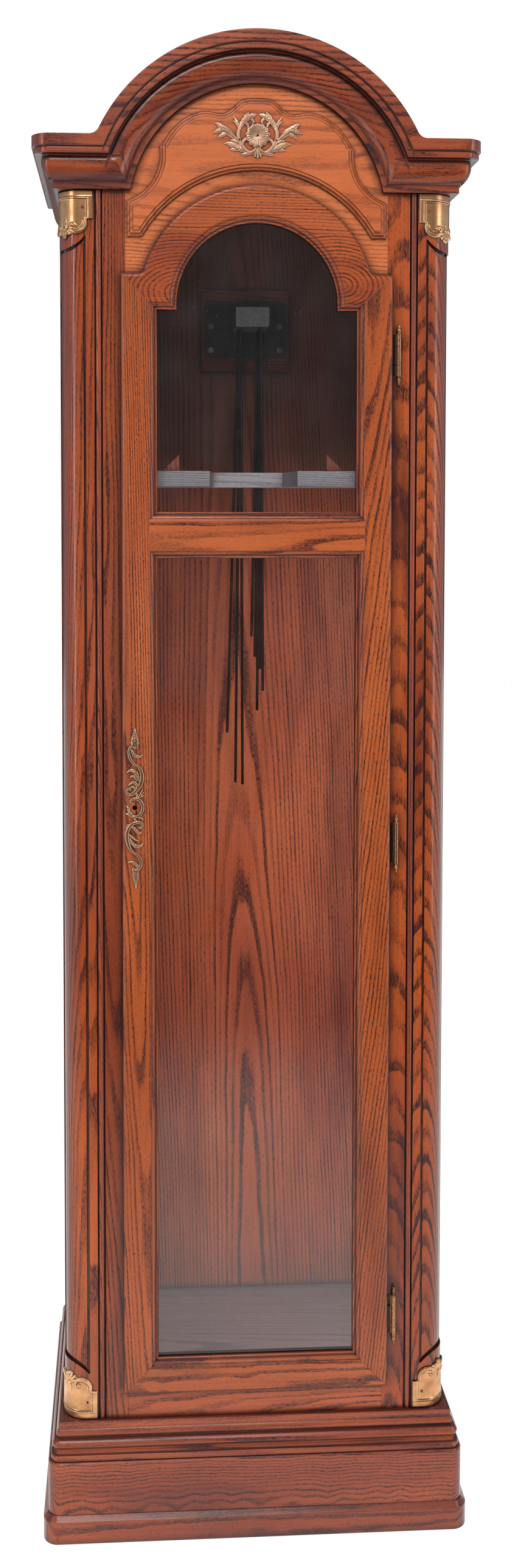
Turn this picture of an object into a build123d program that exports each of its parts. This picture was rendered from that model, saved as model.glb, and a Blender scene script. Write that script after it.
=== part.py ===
"""Arched-top oak grandfather clock case, without its movement, dial, pendulum and weights.

Millimetres. +Z is up, +X is to the right of someone facing the door, -Y faces that person.
The origin is on the floor, under the middle of the clock's box.
Depths (first letter D or the word depth) are measured back from the front face of the case.
"""
from build123d import *
import math
import os

os.makedirs("parts", exist_ok=True)

# ---------------------------------------------------------------- driving dimensions
HEIGHT = 2030.0
CASE_HALF = 263.0            # half the width of the case at its side faces
CASE_DEPTH = 340.0           # front face of the case to its back
CROWN_PROJECTION = 34.5      # crown beyond the case, on the front and both sides
FOOT_PROJECTION = 28.5       # foot moulding beyond the case
PLINTH_PROJECTION = 22.0

# ---------------------------------------------------------------- heights
FOOT_TOP = 38.0
PLINTH_TOP = 110.0
BLOCK_BOTTOM = 10.0
BLOCK_TOP = 54.0             # the posts and the rear stiles stand on the corner blocks
FLOOR_BOARD = (146.0, 164.0)
BASE_TOP = 158.8             # top of the base cap, where the visible case starts
CROWN_BOTTOM = 1827.0
CROWN_TOP = 1892.3
CASE_TOP = CROWN_TOP - 18.0  # the top board lies on the case

# ---------------------------------------------------------------- arches
CROWN_ARCH_Z = 1796.5        # centre height of the crown's arch
CROWN_ARCH_R = HEIGHT - CROWN_ARCH_Z
CROWN_INNER_R = 171.0
DOOR_ARCH_Z = 1677.5         # the door, its window and the frieze share this centre
DOOR_ARCH_R = 157.5
WINDOW_ARCH_R = 107.5
FRIEZE_ARCH_R = 176.8
ARCH_BACKING_R = 225.0       # header board behind the crown's arch

# ---------------------------------------------------------------- front layout (half widths)
OPENING_HALF = 175.3         # between the front stiles
STILE_OUTER = 205.5
POST_INNER = 216.5
DOOR_HALF = 181.5
DOOR_INSET_HALF = 173.5      # the part of the door that enters the opening
WINDOW_HALF = 133.6
STICKING = 11.0              # width of the moulded edge round each pane
UPPER_PANE = (1402.2, 1669.8)
LOWER_PANE = (245.0, 1340.3)
DOOR_FRAME = DOOR_HALF - WINDOW_HALF          # one width all round, so its mitres are at 45 degrees
DOOR_SHOULDER = UPPER_PANE[1] + DOOR_FRAME
DOOR_BOTTOM = LOWER_PANE[0] - DOOR_FRAME

# ---------------------------------------------------------------- depths
FRAME_THICK = 20.0           # stiles, bottom rail and header
DOOR_PROUD = 12.0            # door face in front of the case face
DOOR_GAP = 0.5               # lip to case face
DOOR_LAP = DOOR_HALF - OPENING_HALF   # the lip beyond the opening
DOOR_BACK = 9.0              # back of the door, behind the case face
GLASS_DEPTH = -1.5           # front face of the panes
GLASS_THICK = 3.0
POST_DEPTH = 46.0
POST_CORNER_R = 30.0
REAR_STILE_DEPTH = 296.0
REAR_STILE_INNER = 240.0
SIDE_PANEL_INNER = 254.0
SIDE_PANEL_THICK = 6.0
FRIEZE_PROUD = 6.5
BACK_PANEL_DEPTH = 328.0
BACK_PANEL_THICK = 6.0

# ---------------------------------------------------------------- base
BLOCK_SIDE = 56.0            # corner blocks, in plan
NUT_BOTTOM = 20.0
NUT_FLANGE = (10.0, 2.0)     # radius, thickness
NUT_BARREL = (6.0, 18.0)     # radius, length
LEVELER_R = 4.0

# ---------------------------------------------------------------- corner posts and beads
SINK = 2.0                   # the quarter column lies this far inside the post's round corner
QUIRK = 3.4                  # width of the groove along each side of the quarter column
QUIRK_DEPTH = 4.0
TONGUES = (222.0, 1766.0)    # where the sunk length starts and ends, at its front groove
TONGUE_DROP = 15.5           # its ends curve this much towards the middle, on their way to the side
TONGUE_BAND = 4.2            # a deeper band follows each curved end
TONGUE_DEPTH = 3.0
BEAD_R = 4.1                 # round bead between post and stile
BEAD_DEPTH = 2.6             # depth of its centre

# ---------------------------------------------------------------- door, hinges and lock
ARCH_JOINT = 1770.0          # the shoulder pieces meet the arch rail at this height
HINGE_HEIGHTS = (294.0, 952.0, 1611.6)
HINGE_X = 190.5
HINGE_DEPTH = -5.0
HINGE_HALF = 27.0
BARREL_R = 2.9
PIN_R = 1.4
PIN_BORE_R = 1.45
KNUCKLES = ((-27.0, -12.0), (-11.7, 11.7), (12.0, 27.0))   # case, door, case
LEAF = 1.0
LOCK_X = -164.5
LOCK_Z = 1006.0
LOCK_BORE_R = 3.2
LOCK_SHAFT_R = 3.14

# ---------------------------------------------------------------- brass
MOUNT_TOP = 1826.5
MOUNT_THICK = 1.8
MOUNT_PIN_X = 231.5
MOUNT_PIN_Z = (182.0, 1804.0)
CREST_THICK = 3.0
CREST_Z = 1899.0
CREST_PINS = (-24.5, 24.5)
CREST_PIN_Z = 1892.5
PLATE_THICK = 2.5            # escutcheon
PIN_SHANK_R = 0.8

# ---------------------------------------------------------------- inside
SEAT_BOARD = (1437.0, 1458.2)
SEAT_DEPTHS = (50.0, 205.0)
SEAT_NOTCH = (60.5, 50.0, 150.0)     # half width at the front edge, half width at its end, depth of its end
CLEAT_TALL = 22.0
WEDGE_X = (102.0, 125.5)
WEDGE_TALL = 22.5
WEDGE_DEPTHS = (58.0, 76.0)
CHIME_BOARD = (-59.0, 75.0, 1618.0, 1742.0)   # left, right, low, high
CHIME_BOARD_DEPTH = 310.0
CHIME_PLATE = (9.0, 1681.0, 126.0, 86.0)      # middle X and Z, width, height
CHIME_PLATE_DEPTH = 307.5
CHIME_BLOCK = (-11.0, 39.0, 1678.0, 1707.0)   # left, right, low, high
CHIME_BLOCK_DEPTH = 240.0
CHIME_ROD_R = 2.2
CHIME_ROD_TOP = 1711.0

# ---------------------------------------------------------------- derived
FRONT = CROWN_PROJECTION - (CASE_DEPTH + CROWN_PROJECTION) / 2   # Y of the case's front face
BACK = FRONT + CASE_DEPTH
BIG = 3000.0                 # longer than anything here


# ---------------------------------------------------------------- helpers
def block(x0, x1, depth0, depth1, z0, z1):
    """A box between two X values, two depths and two heights."""
    size = Box(x1 - x0, depth1 - depth0, z1 - z0)
    return Pos((x0 + x1) / 2, FRONT + (depth0 + depth1) / 2, (z0 + z1) / 2) * size


def slab(face, depth0, depth1):
    """Extrude an outline drawn as (X, Z) between two depths."""
    plane = Plane.XZ.offset(-(FRONT + depth1))
    return extrude(plane * face, amount=depth1 - depth0)


def upright(face, z0, z1):
    """Extrude a plan outline drawn as (X, Y) between two heights."""
    return extrude(Pos(0, 0, z0) * face, amount=z1 - z0)


def along_x(points, x0, x1):
    """Extrude a section drawn as (depth, Z) between two X values."""
    face = make_face(Polyline(*[(FRONT + depth, z) for depth, z in points], close=True))
    return extrude(Plane.YZ.offset(x0) * face, amount=x1 - x0)


def turned(points, x, y, z=0.0, angle=360.0):
    """Revolve a section drawn as (radius, Z) about an upright axis through (x, y)."""
    face = make_face(Polyline(*points, close=True))
    return Pos(x, y, z) * revolve(Plane.XZ * face, Axis.Z, angle)


def rod(x, y, z, radius, length, direction=(0, 0, 1)):
    """A round bar that starts at a point and runs along a direction."""
    return Plane(origin=(x, y, z), z_dir=direction) * Cylinder(
        radius, length, align=(Align.CENTER, Align.CENTER, Align.MIN)
    )


def screw_section(head_radius, radius, length):
    """Half section of a countersunk wood screw, from its head down."""
    head_depth = head_radius - radius
    points = [(0, 0), (head_radius, 0), (radius, head_depth), (radius, length - 2), (0, length)]
    return Plane.XZ * make_face(Polyline(*points, close=True))


def screw(x, y, z, head_radius, radius, length, direction):
    """A countersunk wood screw whose head face is at a point, with a cross slot."""
    body = revolve(screw_section(head_radius, radius, length), Axis.Z, 360)
    slot = Box(head_radius * 1.3, 0.5, 1.0) + Box(0.5, head_radius * 1.3, 1.0)
    return Plane(origin=(x, y, z), z_dir=direction) * (body - slot)


def screw_hole(x, y, z, head_radius, radius, length, direction):
    """The hole that a screw leaves, with a little room round it."""
    room = 0.05
    hole = revolve(screw_section(head_radius + room, radius + room, length + room), Axis.Z, 360)
    return Plane(origin=(x, y, z), z_dir=direction) * hole


def mirrored(shape):
    """The same piece on the other side of the clock."""
    return shape.mirror(Plane.YZ)


def group(*shapes):
    """Separate solids that share one node."""
    solids = []
    for shape in shapes:
        solids.extend(shape.solids())
    return Compound(children=solids)


def save(name, shape):
    """Write one node."""
    solids = shape.solids()
    whole = solids[0] if len(solids) == 1 else Compound(children=list(solids))
    whole.label = name
    export_step(whole, f"parts/{name}.step")
    print(f"{name}: {len(solids)} solid(s)")


def save_pair(stem, right):
    """Write a right-hand piece and its mirror image."""
    save(f"{stem}_right", right)
    save(f"{stem}_left", mirrored(right))


def side_halves(shape):
    """Split a shape that has one piece on each side, and return (left, right)."""
    left = [s for s in shape.solids() if s.center().X < 0]
    right = [s for s in shape.solids() if s.center().X > 0]
    return Compound(children=left), Compound(children=right)


# ---------------------------------------------------------------- mouldings round the case
def post_corner_fills():
    """What rounding takes off the two posts' front corners, over the height of the posts."""
    radius = POST_CORNER_R
    corner = Pos(CASE_HALF - radius / 2, FRONT + radius / 2) * Rectangle(radius, radius)
    round_corner = Pos(CASE_HALF - radius, FRONT + radius) * Circle(radius)
    fill = upright(corner - round_corner, BLOCK_TOP, CASE_TOP)
    return fill + mirrored(fill)


def moulding(profile, corner):
    """A moulding round the front and sides of the case, with rounded front corners.

    profile lists (projection, height) up its face, and corner is the plan radius at its
    furthest projection.
    """
    low, high = profile[0][1], profile[-1][1]
    outward = max(p for p, z in profile)
    centre = outward - corner
    front_section = [(-p, z) for p, z in profile] + [(CASE_DEPTH, high), (CASE_DEPTH, low)]
    front = along_x(front_section, -BIG / 2, BIG / 2)
    right_side = [(CASE_HALF + p, z) for p, z in profile]
    left_side = [(-x, z) for x, z in reversed(right_side)]
    sides = slab(make_face(Polyline(*right_side, *left_side, close=True)), -100, CASE_DEPTH)
    ring = front & sides
    for sign in (-1, 1):
        x = sign * (CASE_HALF + centre)
        corner_box = Pos(x + sign * 50, FRONT - centre - 50, (low + high) / 2) * Box(100, 100, high - low)
        section = [(max(p - centre, 0.0), z) for p, z in profile]
        shape = [(0, low)] + [point for point in section if point[0] > 0] + [(0, high)]
        if section[0][0] == 0.0:
            step = next(z for r, z in section if r > 0)
            shape[0] = (0, step)
        ring = (ring - corner_box) + (turned(shape, x, FRONT - centre) & corner_box)
    core = block(-CASE_HALF, CASE_HALF, 0, CASE_DEPTH + 1, low - 1, high + 1)
    return ring - (core - post_corner_fills())


def mitre_wedge():
    """Everything in front of the case, out to the mitre planes at its two corners."""
    reach = 120
    plan = Polyline(
        (-CASE_HALF - reach, FRONT - reach),
        (CASE_HALF + reach, FRONT - reach),
        (CASE_HALF, FRONT),
        (-CASE_HALF, FRONT),
        close=True,
    )
    return upright(make_face(plan), -10, HEIGHT + 10)


def mitred(ring):
    """Split a moulding into its front, left and right pieces."""
    wedge = mitre_wedge()
    left, right = side_halves(ring - wedge)
    return ring & wedge, left, right


def save_mitred(stem, ring):
    """Write a moulding's front piece and its two side returns."""
    front, left, right = mitred(ring)
    save(f"{stem}_front", front)
    save(f"{stem}_returns", group(left, right))


def bead_points(projection, z0, z1, bulge, count=7):
    """Points up a rounded bead between two heights."""
    points = []
    for step in range(count):
        t = step / (count - 1)
        points.append((projection + bulge * math.sin(math.pi * t), z0 + (z1 - z0) * t))
    return points


def shoulder_fill(arch_r, arch_z, line_z, fill_r):
    """The two concave fillets where an arch rises from a level line."""
    fill_x = math.sqrt((arch_r + fill_r) ** 2 - (line_z + fill_r - arch_z) ** 2)
    foot_x = math.sqrt(arch_r**2 - (line_z - arch_z) ** 2)
    scale = arch_r / (arch_r + fill_r)
    touch = (fill_x * scale, arch_z + (line_z + fill_r - arch_z) * scale)
    centre = (fill_x, line_z + fill_r)
    corner = make_face(Polyline(touch, centre, (fill_x, line_z), (foot_x, line_z), close=True))
    piece = corner - Pos(*centre) * Circle(fill_r)
    return piece + mirror(piece, Plane.YZ)


def door_outline(inset):
    """The door's outline, drawn in by a distance all round."""
    half = DOOR_HALF - inset
    low = DOOR_BOTTOM + inset
    shoulder = DOOR_SHOULDER - inset
    body = Pos(0, (low + shoulder) / 2) * Rectangle(2 * half, shoulder - low)
    arch = Pos(0, DOOR_ARCH_Z) * Circle(DOOR_ARCH_R - inset)
    return body + arch + shoulder_fill(DOOR_ARCH_R - inset, DOOR_ARCH_Z, shoulder, 8 + inset)


# ---------------------------------------------------------------- base
def make_base():
    foot = [(FOOT_PROJECTION - 2, 0), (FOOT_PROJECTION, 2), (FOOT_PROJECTION, 31.5),
            (FOOT_PROJECTION - 1.5, 33), (PLINTH_PROJECTION, FOOT_TOP)]
    save_mitred("foot_moulding", moulding(foot, 20))
    plinth = [(PLINTH_PROJECTION, FOOT_TOP), (PLINTH_PROJECTION, PLINTH_TOP - 2),
              (PLINTH_PROJECTION - 2, PLINTH_TOP)]
    save_mitred("plinth", moulding(plinth, 16))
    cap = [(18.5, PLINTH_TOP), (18.5, 116.5), (17.5, 117.8), (13.5, 118.2), (13.0, 121.0), (14.0, 124.5)]
    cap += bead_points(13.5, 125.0, 137.0, 3.8)
    cap += bead_points(8.5, 138.6, 149.2, 2.6)
    cap += [(7.6, 150.0), (7.6, BASE_TOP - 0.8), (6.8, BASE_TOP)]
    save_mitred("base_cap", moulding(cap, 13))

    floor = block(-SIDE_PANEL_INNER, SIDE_PANEL_INNER, POST_DEPTH, REAR_STILE_DEPTH, *FLOOR_BOARD)
    floor = floor + block(-POST_INNER, POST_INNER, FRAME_THICK, POST_DEPTH, *FLOOR_BOARD)
    rear_edge = BACK_PANEL_DEPTH
    floor = floor + block(-REAR_STILE_INNER, REAR_STILE_INNER, REAR_STILE_DEPTH, rear_edge, *FLOOR_BOARD)
    save("base_floor_board", floor)

    blocks = []
    nuts = []
    for x, depth in leveler_places():
        y = FRONT + depth
        flange_r, flange = NUT_FLANGE
        barrel_r, barrel = NUT_BARREL
        nut = rod(x, y, NUT_BOTTOM, flange_r, flange) + rod(x, y, NUT_BOTTOM, barrel_r, barrel)
        nuts.append(nut - rod(x, y, 0, LEVELER_R + 0.05, 60))
        middle = (BLOCK_BOTTOM + BLOCK_TOP) / 2
        wood = Pos(x, y, middle) * Box(BLOCK_SIDE, BLOCK_SIDE, BLOCK_TOP - BLOCK_BOTTOM)
        counterbore = rod(x, y, BLOCK_BOTTOM - 1, flange_r, NUT_BOTTOM + flange - BLOCK_BOTTOM + 1)
        blocks.append(wood - counterbore - rod(x, y, 0, barrel_r, BLOCK_TOP + 1))
    save("corner_blocks", group(*blocks))
    save("leveler_t_nuts", group(*nuts))
    names = ("leveler_front_left", "leveler_front_right", "leveler_rear_left", "leveler_rear_right")
    for name, (x, depth) in zip(names, leveler_places()):
        pad = [(0, 1.0), (15.0, 1.0), (16.0, 2.0), (15.0, 5.0), (6.0, 7.0), (LEVELER_R, 8.0)]
        save(name, turned(pad + [(LEVELER_R, 44.0), (0, 44.0)], x, FRONT + depth))


def leveler_places():
    """(X, depth) of the four levelers: front left, front right, rear left, rear right."""
    inset = BLOCK_SIDE / 2
    return [(sx * (CASE_HALF - inset), depth) for depth in (inset, CASE_DEPTH - inset) for sx in (-1, 1)]


# ---------------------------------------------------------------- case
def tongue_line(z, turn, shift):
    """The curved end of the sunk length, from the front groove to the side.

    turn is 1 at the top end and -1 at the foot.
    """
    start = CASE_HALF - POST_CORNER_R - SINK - 1.0
    end = CASE_HALF + 2.0
    heights = [z - turn * (drop + shift) for drop in (0.0, 0.63 * TONGUE_DROP, TONGUE_DROP)]
    return ThreePointArc((start, heights[0]), (start + 10.5, heights[1]), (end, heights[2]))


def make_corner_post():
    """A post with a rounded front corner, and a sunk quarter column between two lamb's tongues."""
    radius = POST_CORNER_R
    width = CASE_HALF - POST_INNER
    plan = Pos(POST_INNER + width / 2, FRONT + POST_DEPTH / 2) * Rectangle(width, POST_DEPTH)
    corner = Pos(CASE_HALF - radius / 2, FRONT + radius / 2) * Rectangle(radius, radius)
    round_corner = Pos(CASE_HALF - radius, FRONT + radius) * Circle(radius)
    plan = plan - (corner - round_corner)
    post = upright(plan, BLOCK_TOP, CASE_TOP)

    # what stays below the surface: the quarter column, and the wood behind the two grooves
    cx = CASE_HALF - SINK - radius
    cy = FRONT + SINK + radius
    reach = radius + SINK + QUIRK
    zone = Pos(CASE_HALF - reach / 2 + 0.5, FRONT + reach / 2 - 0.5) * Rectangle(reach + 1, reach + 1)
    quarter = Pos(cx + 50, cy - 50) * Rectangle(100, 100)
    behind_front = Pos(cx - 25, FRONT + QUIRK_DEPTH + 25) * Rectangle(50, 50)
    behind_side = Pos(CASE_HALF - QUIRK_DEPTH - 25, cy + 25) * Rectangle(50, 50)
    behind = behind_front + behind_side
    low, high = TONGUES
    column = (Pos(cx, cy) * Circle(radius)) & quarter
    sunk = upright(zone - column - behind, low, high)
    column = (Pos(cx, cy) * Circle(radius - TONGUE_DEPTH)) & quarter
    deeper = upright(zone - column - behind, low, high)

    # the sunk length ends on a curve that falls from the front groove to the side groove
    left = CASE_HALF - reach - 1
    top, foot = tongue_line(high, 1, 0.0), tongue_line(low, -1, 0.0)
    window = make_face([
        Line((left, high), top @ 0),
        top,
        Line(top @ 1, foot @ 1),
        foot,
        Line(foot @ 0, (left, low)),
        Line((left, low), (left, high)),
    ])
    post = post - (sunk & slab(window, -2, reach + 2))
    for z, turn in ((high, 1), (low, -1)):
        near, far = tongue_line(z, turn, 0.0), tongue_line(z, turn, TONGUE_BAND)
        band = make_face([near, Line(near @ 1, far @ 1), far, Line(far @ 0, near @ 0)])
        post = post - (deeper & slab(band, -2, reach + 2))
    return post


def make_case():
    post = make_corner_post()
    for z in MOUNT_PIN_Z:
        post = post - pin_hole(MOUNT_PIN_X, MOUNT_THICK, z)
    save_pair("corner_post", post)

    middle = (STILE_OUTER + POST_INNER) / 2
    strip = block(STILE_OUTER, POST_INNER, BEAD_DEPTH, FRAME_THICK, PLINTH_TOP, CASE_TOP)
    bar = rod(middle, FRONT + BEAD_DEPTH, BASE_TOP, BEAD_R, CROWN_BOTTOM - BASE_TOP)
    front_half = block(STILE_OUTER, POST_INNER, -BEAD_R, BEAD_DEPTH + 1, BASE_TOP, CROWN_BOTTOM)
    beads = strip + (bar & front_half)
    save("post_beads", group(beads, mirrored(beads)))

    stile = block(OPENING_HALF, STILE_OUTER, 0, FRAME_THICK, PLINTH_TOP, CASE_TOP)
    save("front_stile_left", mirrored(stile))
    for z in HINGE_HEIGHTS:
        stile = stile - case_leaf_pocket(z)
        for place in case_screw_places(z):
            stile = stile - screw_hole(*place)
    save("front_stile_right", stile)
    rail_top = DOOR_BOTTOM + DOOR_LAP
    save("front_bottom_rail", block(-OPENING_HALF, OPENING_HALF, 0, FRAME_THICK, PLINTH_TOP, rail_top))

    header_low = DOOR_SHOULDER - DOOR_LAP
    header = Pos(0, (header_low + CASE_TOP) / 2) * Rectangle(2 * OPENING_HALF, CASE_TOP - header_low)
    backing = Pos(0, CROWN_ARCH_Z) * Circle(ARCH_BACKING_R)
    upper_half = Pos(0, CROWN_ARCH_Z + 150) * Rectangle(2 * OPENING_HALF, 300)
    header = header + (backing & upper_half) - door_outline(DOOR_LAP)
    header = slab(header, 0, FRAME_THICK)
    for x in CREST_PINS:
        header = header - pin_hole(x, FRIEZE_PROUD + CREST_THICK, CREST_PIN_Z)
    save("header_board", header)
    save("frieze_panel", make_frieze())

    outer = SIDE_PANEL_INNER + SIDE_PANEL_THICK
    panel = block(SIDE_PANEL_INNER, outer, POST_DEPTH, REAR_STILE_DEPTH, PLINTH_TOP, CASE_TOP)
    save_pair("side_panel", panel)
    rear = block(REAR_STILE_INNER, CASE_HALF, REAR_STILE_DEPTH, CASE_DEPTH, BLOCK_TOP, CASE_TOP)
    save("rear_stiles", group(rear, mirrored(rear)))
    back_face = BACK_PANEL_DEPTH + BACK_PANEL_THICK
    back = block(-REAR_STILE_INNER, REAR_STILE_INNER, BACK_PANEL_DEPTH, back_face, PLINTH_TOP, CASE_TOP)
    save("back_panel", back)
    top = block(-CASE_HALF, CASE_HALF, 0, CASE_DEPTH, CASE_TOP, CROWN_TOP)
    slot = block(-OPENING_HALF, OPENING_HALF, -1, FRAME_THICK, CASE_TOP - 1, CROWN_TOP + 1)
    save("top_board", top - slot)


def frieze_crest(inset):
    """Points up the scrolled top's right half, moved in square to the curve."""
    points = [
        (126.0, 1887.0), (116.0, 1903.0), (100.0, 1919.0), (84.0, 1928.0), (64.0, 1931.0),
        (48.0, 1928.6), (36.0, 1933.6), (24.0, 1944.0), (0.0, 1949.0),
    ]
    mirrored_next = (-points[-2][0], points[-2][1])
    around = [points[0], *points, mirrored_next]
    moved = []
    for before, here, after in zip(around, points, around[2:]):
        run_x, run_z = after[0] - before[0], after[1] - before[1]
        length = math.hypot(run_x, run_z)
        moved.append((here[0] - inset * run_z / length, here[1] + inset * run_x / length))
    return moved


def frieze_outline(inset):
    """The applied panel above the door: a level foot, an arch under it and a scrolled top."""
    side, low, ear = 173.0 - inset, 1766.0 + inset, 1813.0 - inset
    arch_r = FRIEZE_ARCH_R + inset
    foot_x = math.sqrt(arch_r**2 - (low - DOOR_ARCH_Z) ** 2)
    middle = (math.atan2(low - DOOR_ARCH_Z, foot_x) + math.pi / 2) / 2
    arch_top = (0.0, DOOR_ARCH_Z + arch_r)
    arch_middle = (arch_r * math.cos(middle), DOOR_ARCH_Z + arch_r * math.sin(middle))
    hollow_x, hollow_z, hollow_r = 193.0, 1874.0, 63.7 + inset
    start_angle = math.asin((hollow_z - ear - 3) / hollow_r)
    end_angle = -math.asin((1884.0 - hollow_z) / hollow_r)
    hollow = []
    for angle in (start_angle, (start_angle + end_angle) / 2, end_angle):
        hollow.append((hollow_x - hollow_r * math.cos(angle), hollow_z - hollow_r * math.sin(angle)))
    hollow[0] = (min(hollow[0][0], side - 0.5), hollow[0][1])
    crest = frieze_crest(inset)
    half = make_face([
        Line((side, low), (side, ear)),
        Line((side, ear), hollow[0]),
        ThreePointArc(*hollow),
        Line(hollow[-1], crest[0]),
        Spline(*crest, tangents=((-0.5, 1.0), (-1.0, 0.0))),
        Line(crest[-1], arch_top),
        ThreePointArc(arch_top, arch_middle, (foot_x, low)),
        Line((foot_x, low), (side, low)),
    ])
    return half + mirror(half, Plane.YZ)


def make_frieze():
    """The panel, with an edge that rises to its face in two beads."""
    panel = slab(frieze_outline(0), -1.6, 0)
    for inset, proud in ((1.0, 2.8), (3.4, 3.8), (4.6, 5.2), (8.2, FRIEZE_PROUD)):
        panel = panel + slab(frieze_outline(inset), -proud, -1)
    for x in CREST_PINS:
        panel = panel - pin_hole(x, FRIEZE_PROUD + CREST_THICK, CREST_PIN_Z)
    return panel


# ---------------------------------------------------------------- crown
def crown_profile():
    """(projection, drop below the top) down the crown's face."""
    cyma = [
        (20.5, 25.5), (21.6, 28.0), (22.2, 31.5), (22.0, 35.5), (21.0, 40.0),
        (19.2, 44.5), (16.8, 48.5), (13.5, 52.5), (9.5, 55.4), (8.0, 56.0),
    ]
    return [
        (CROWN_PROJECTION, 0.0), (CROWN_PROJECTION, 14.0), (CROWN_PROJECTION - 1.2, 15.2),
        (31.4, 15.4), (31.4, 16.4), (32.0, 17.2), (32.0, 22.6), (30.8, 24.0), (21.0, 24.4),
        *cyma, (7.0, 57.0), (7.0, CROWN_TOP - CROWN_BOTTOM),
    ]


def make_crown():
    profile = crown_profile()
    straight = moulding([(p, CROWN_TOP - drop) for p, drop in reversed(profile)], 25)
    band = CROWN_ARCH_R - CROWN_INNER_R
    section = [(CROWN_ARCH_R - drop, FRONT - p) for p, drop in profile if drop < band]
    section = section + [(CROWN_INNER_R, FRONT - 7.0), (CROWN_INNER_R, FRONT), (CROWN_ARCH_R, FRONT)]
    face = make_face(Polyline(*section, close=True))
    arch = Pos(0, 0, CROWN_ARCH_Z) * revolve(face, Axis.Y, 360)
    disc = Plane(origin=(0, FRONT + 5, CROWN_ARCH_Z), z_dir=(0, -1, 0)) * Cylinder(
        CROWN_ARCH_R, 60, align=(Align.CENTER, Align.CENTER, Align.MIN)
    )
    above = block(-BIG / 4, BIG / 4, -60, 0, CROWN_TOP, HEIGHT + 10)
    wedge = mitre_wedge()
    front = straight & wedge
    fill = slab(shoulder_fill(CROWN_ARCH_R, CROWN_ARCH_Z, CROWN_TOP, 14), -CROWN_PROJECTION, 0)
    board = (front - disc) + (front & arch) + (arch & above) + fill
    save("crown_front_board", board)
    save("crown_returns", group(straight - wedge))


# ---------------------------------------------------------------- door
def window_cutter(z0, z1, arched):
    """The tool that cuts a window and its moulded edge, wider towards the front."""
    steps = sticking_steps()
    widths = [(WINDOW_HALF + grow, depth) for grow, depth in steps]
    right = [(w, FRONT + depth) for w, depth in widths]
    left = [(-w, y) for w, y in reversed(right)]
    across = upright(make_face(Polyline(*right, *left, close=True)), z0 - 50, z1 + 50)
    tall = [(depth, z1 + grow) for grow, depth in steps]
    tall += [(depth, z0 - grow) for grow, depth in reversed(steps)]
    cutter = across & along_x(tall, -200, 200)
    if arched:
        section = [(0, FRONT + steps[0][1])]
        section += [(WINDOW_ARCH_R + grow, FRONT + depth) for grow, depth in steps]
        section += [(0, FRONT + steps[-1][1])]
        round_part = Pos(0, 0, DOOR_ARCH_Z) * revolve(make_face(Polyline(*section, close=True)), Axis.Y, 360)
        cutter = cutter + (round_part & block(-200, 200, -20, 20, DOOR_ARCH_Z, HEIGHT))
        jambs = [(WINDOW_ARCH_R + grow, FRONT + depth) for grow, depth in steps]
        jambs = jambs + [(-x, y) for x, y in reversed(jambs)]
        cutter = cutter + upright(make_face(Polyline(*jambs, close=True)), z1 - 5, DOOR_ARCH_Z)
    return cutter


def sticking_steps():
    """(growth beyond the pane, depth) of the moulded edge, from behind the glass to the face."""
    rabbet = 8.0
    return [
        (rabbet, DOOR_BACK + 1), (rabbet, GLASS_DEPTH), (0.0, GLASS_DEPTH), (0.0, -4.0), (0.6, -5.2),
        (1.8, -5.8), (3.2, -5.2), (3.6, -5.2), (4.6, -7.4), (6.4, -9.2), (8.4, -10.0), (9.0, -10.0),
        (9.4, -11.2), (STICKING, -DOOR_PROUD), (STICKING, -DOOR_PROUD - 1),
    ]


def pane_outline(z0, z1, grow, arched):
    """A pane's outline, grown by a distance."""
    face = Pos(0, (z0 + z1) / 2) * Rectangle(2 * (WINDOW_HALF + grow), z1 - z0 + 2 * grow)
    if arched:
        face = face + Pos(0, DOOR_ARCH_Z) * Circle(WINDOW_ARCH_R + grow)
        face = face + Pos(0, DOOR_ARCH_Z - 10) * Rectangle(2 * (WINDOW_ARCH_R + grow), 20)
    return face


def prism(points):
    """An outline given as (X, Z) points, through the whole door."""
    return slab(make_face(Polyline(*points, close=True)), -30, 30)


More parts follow.
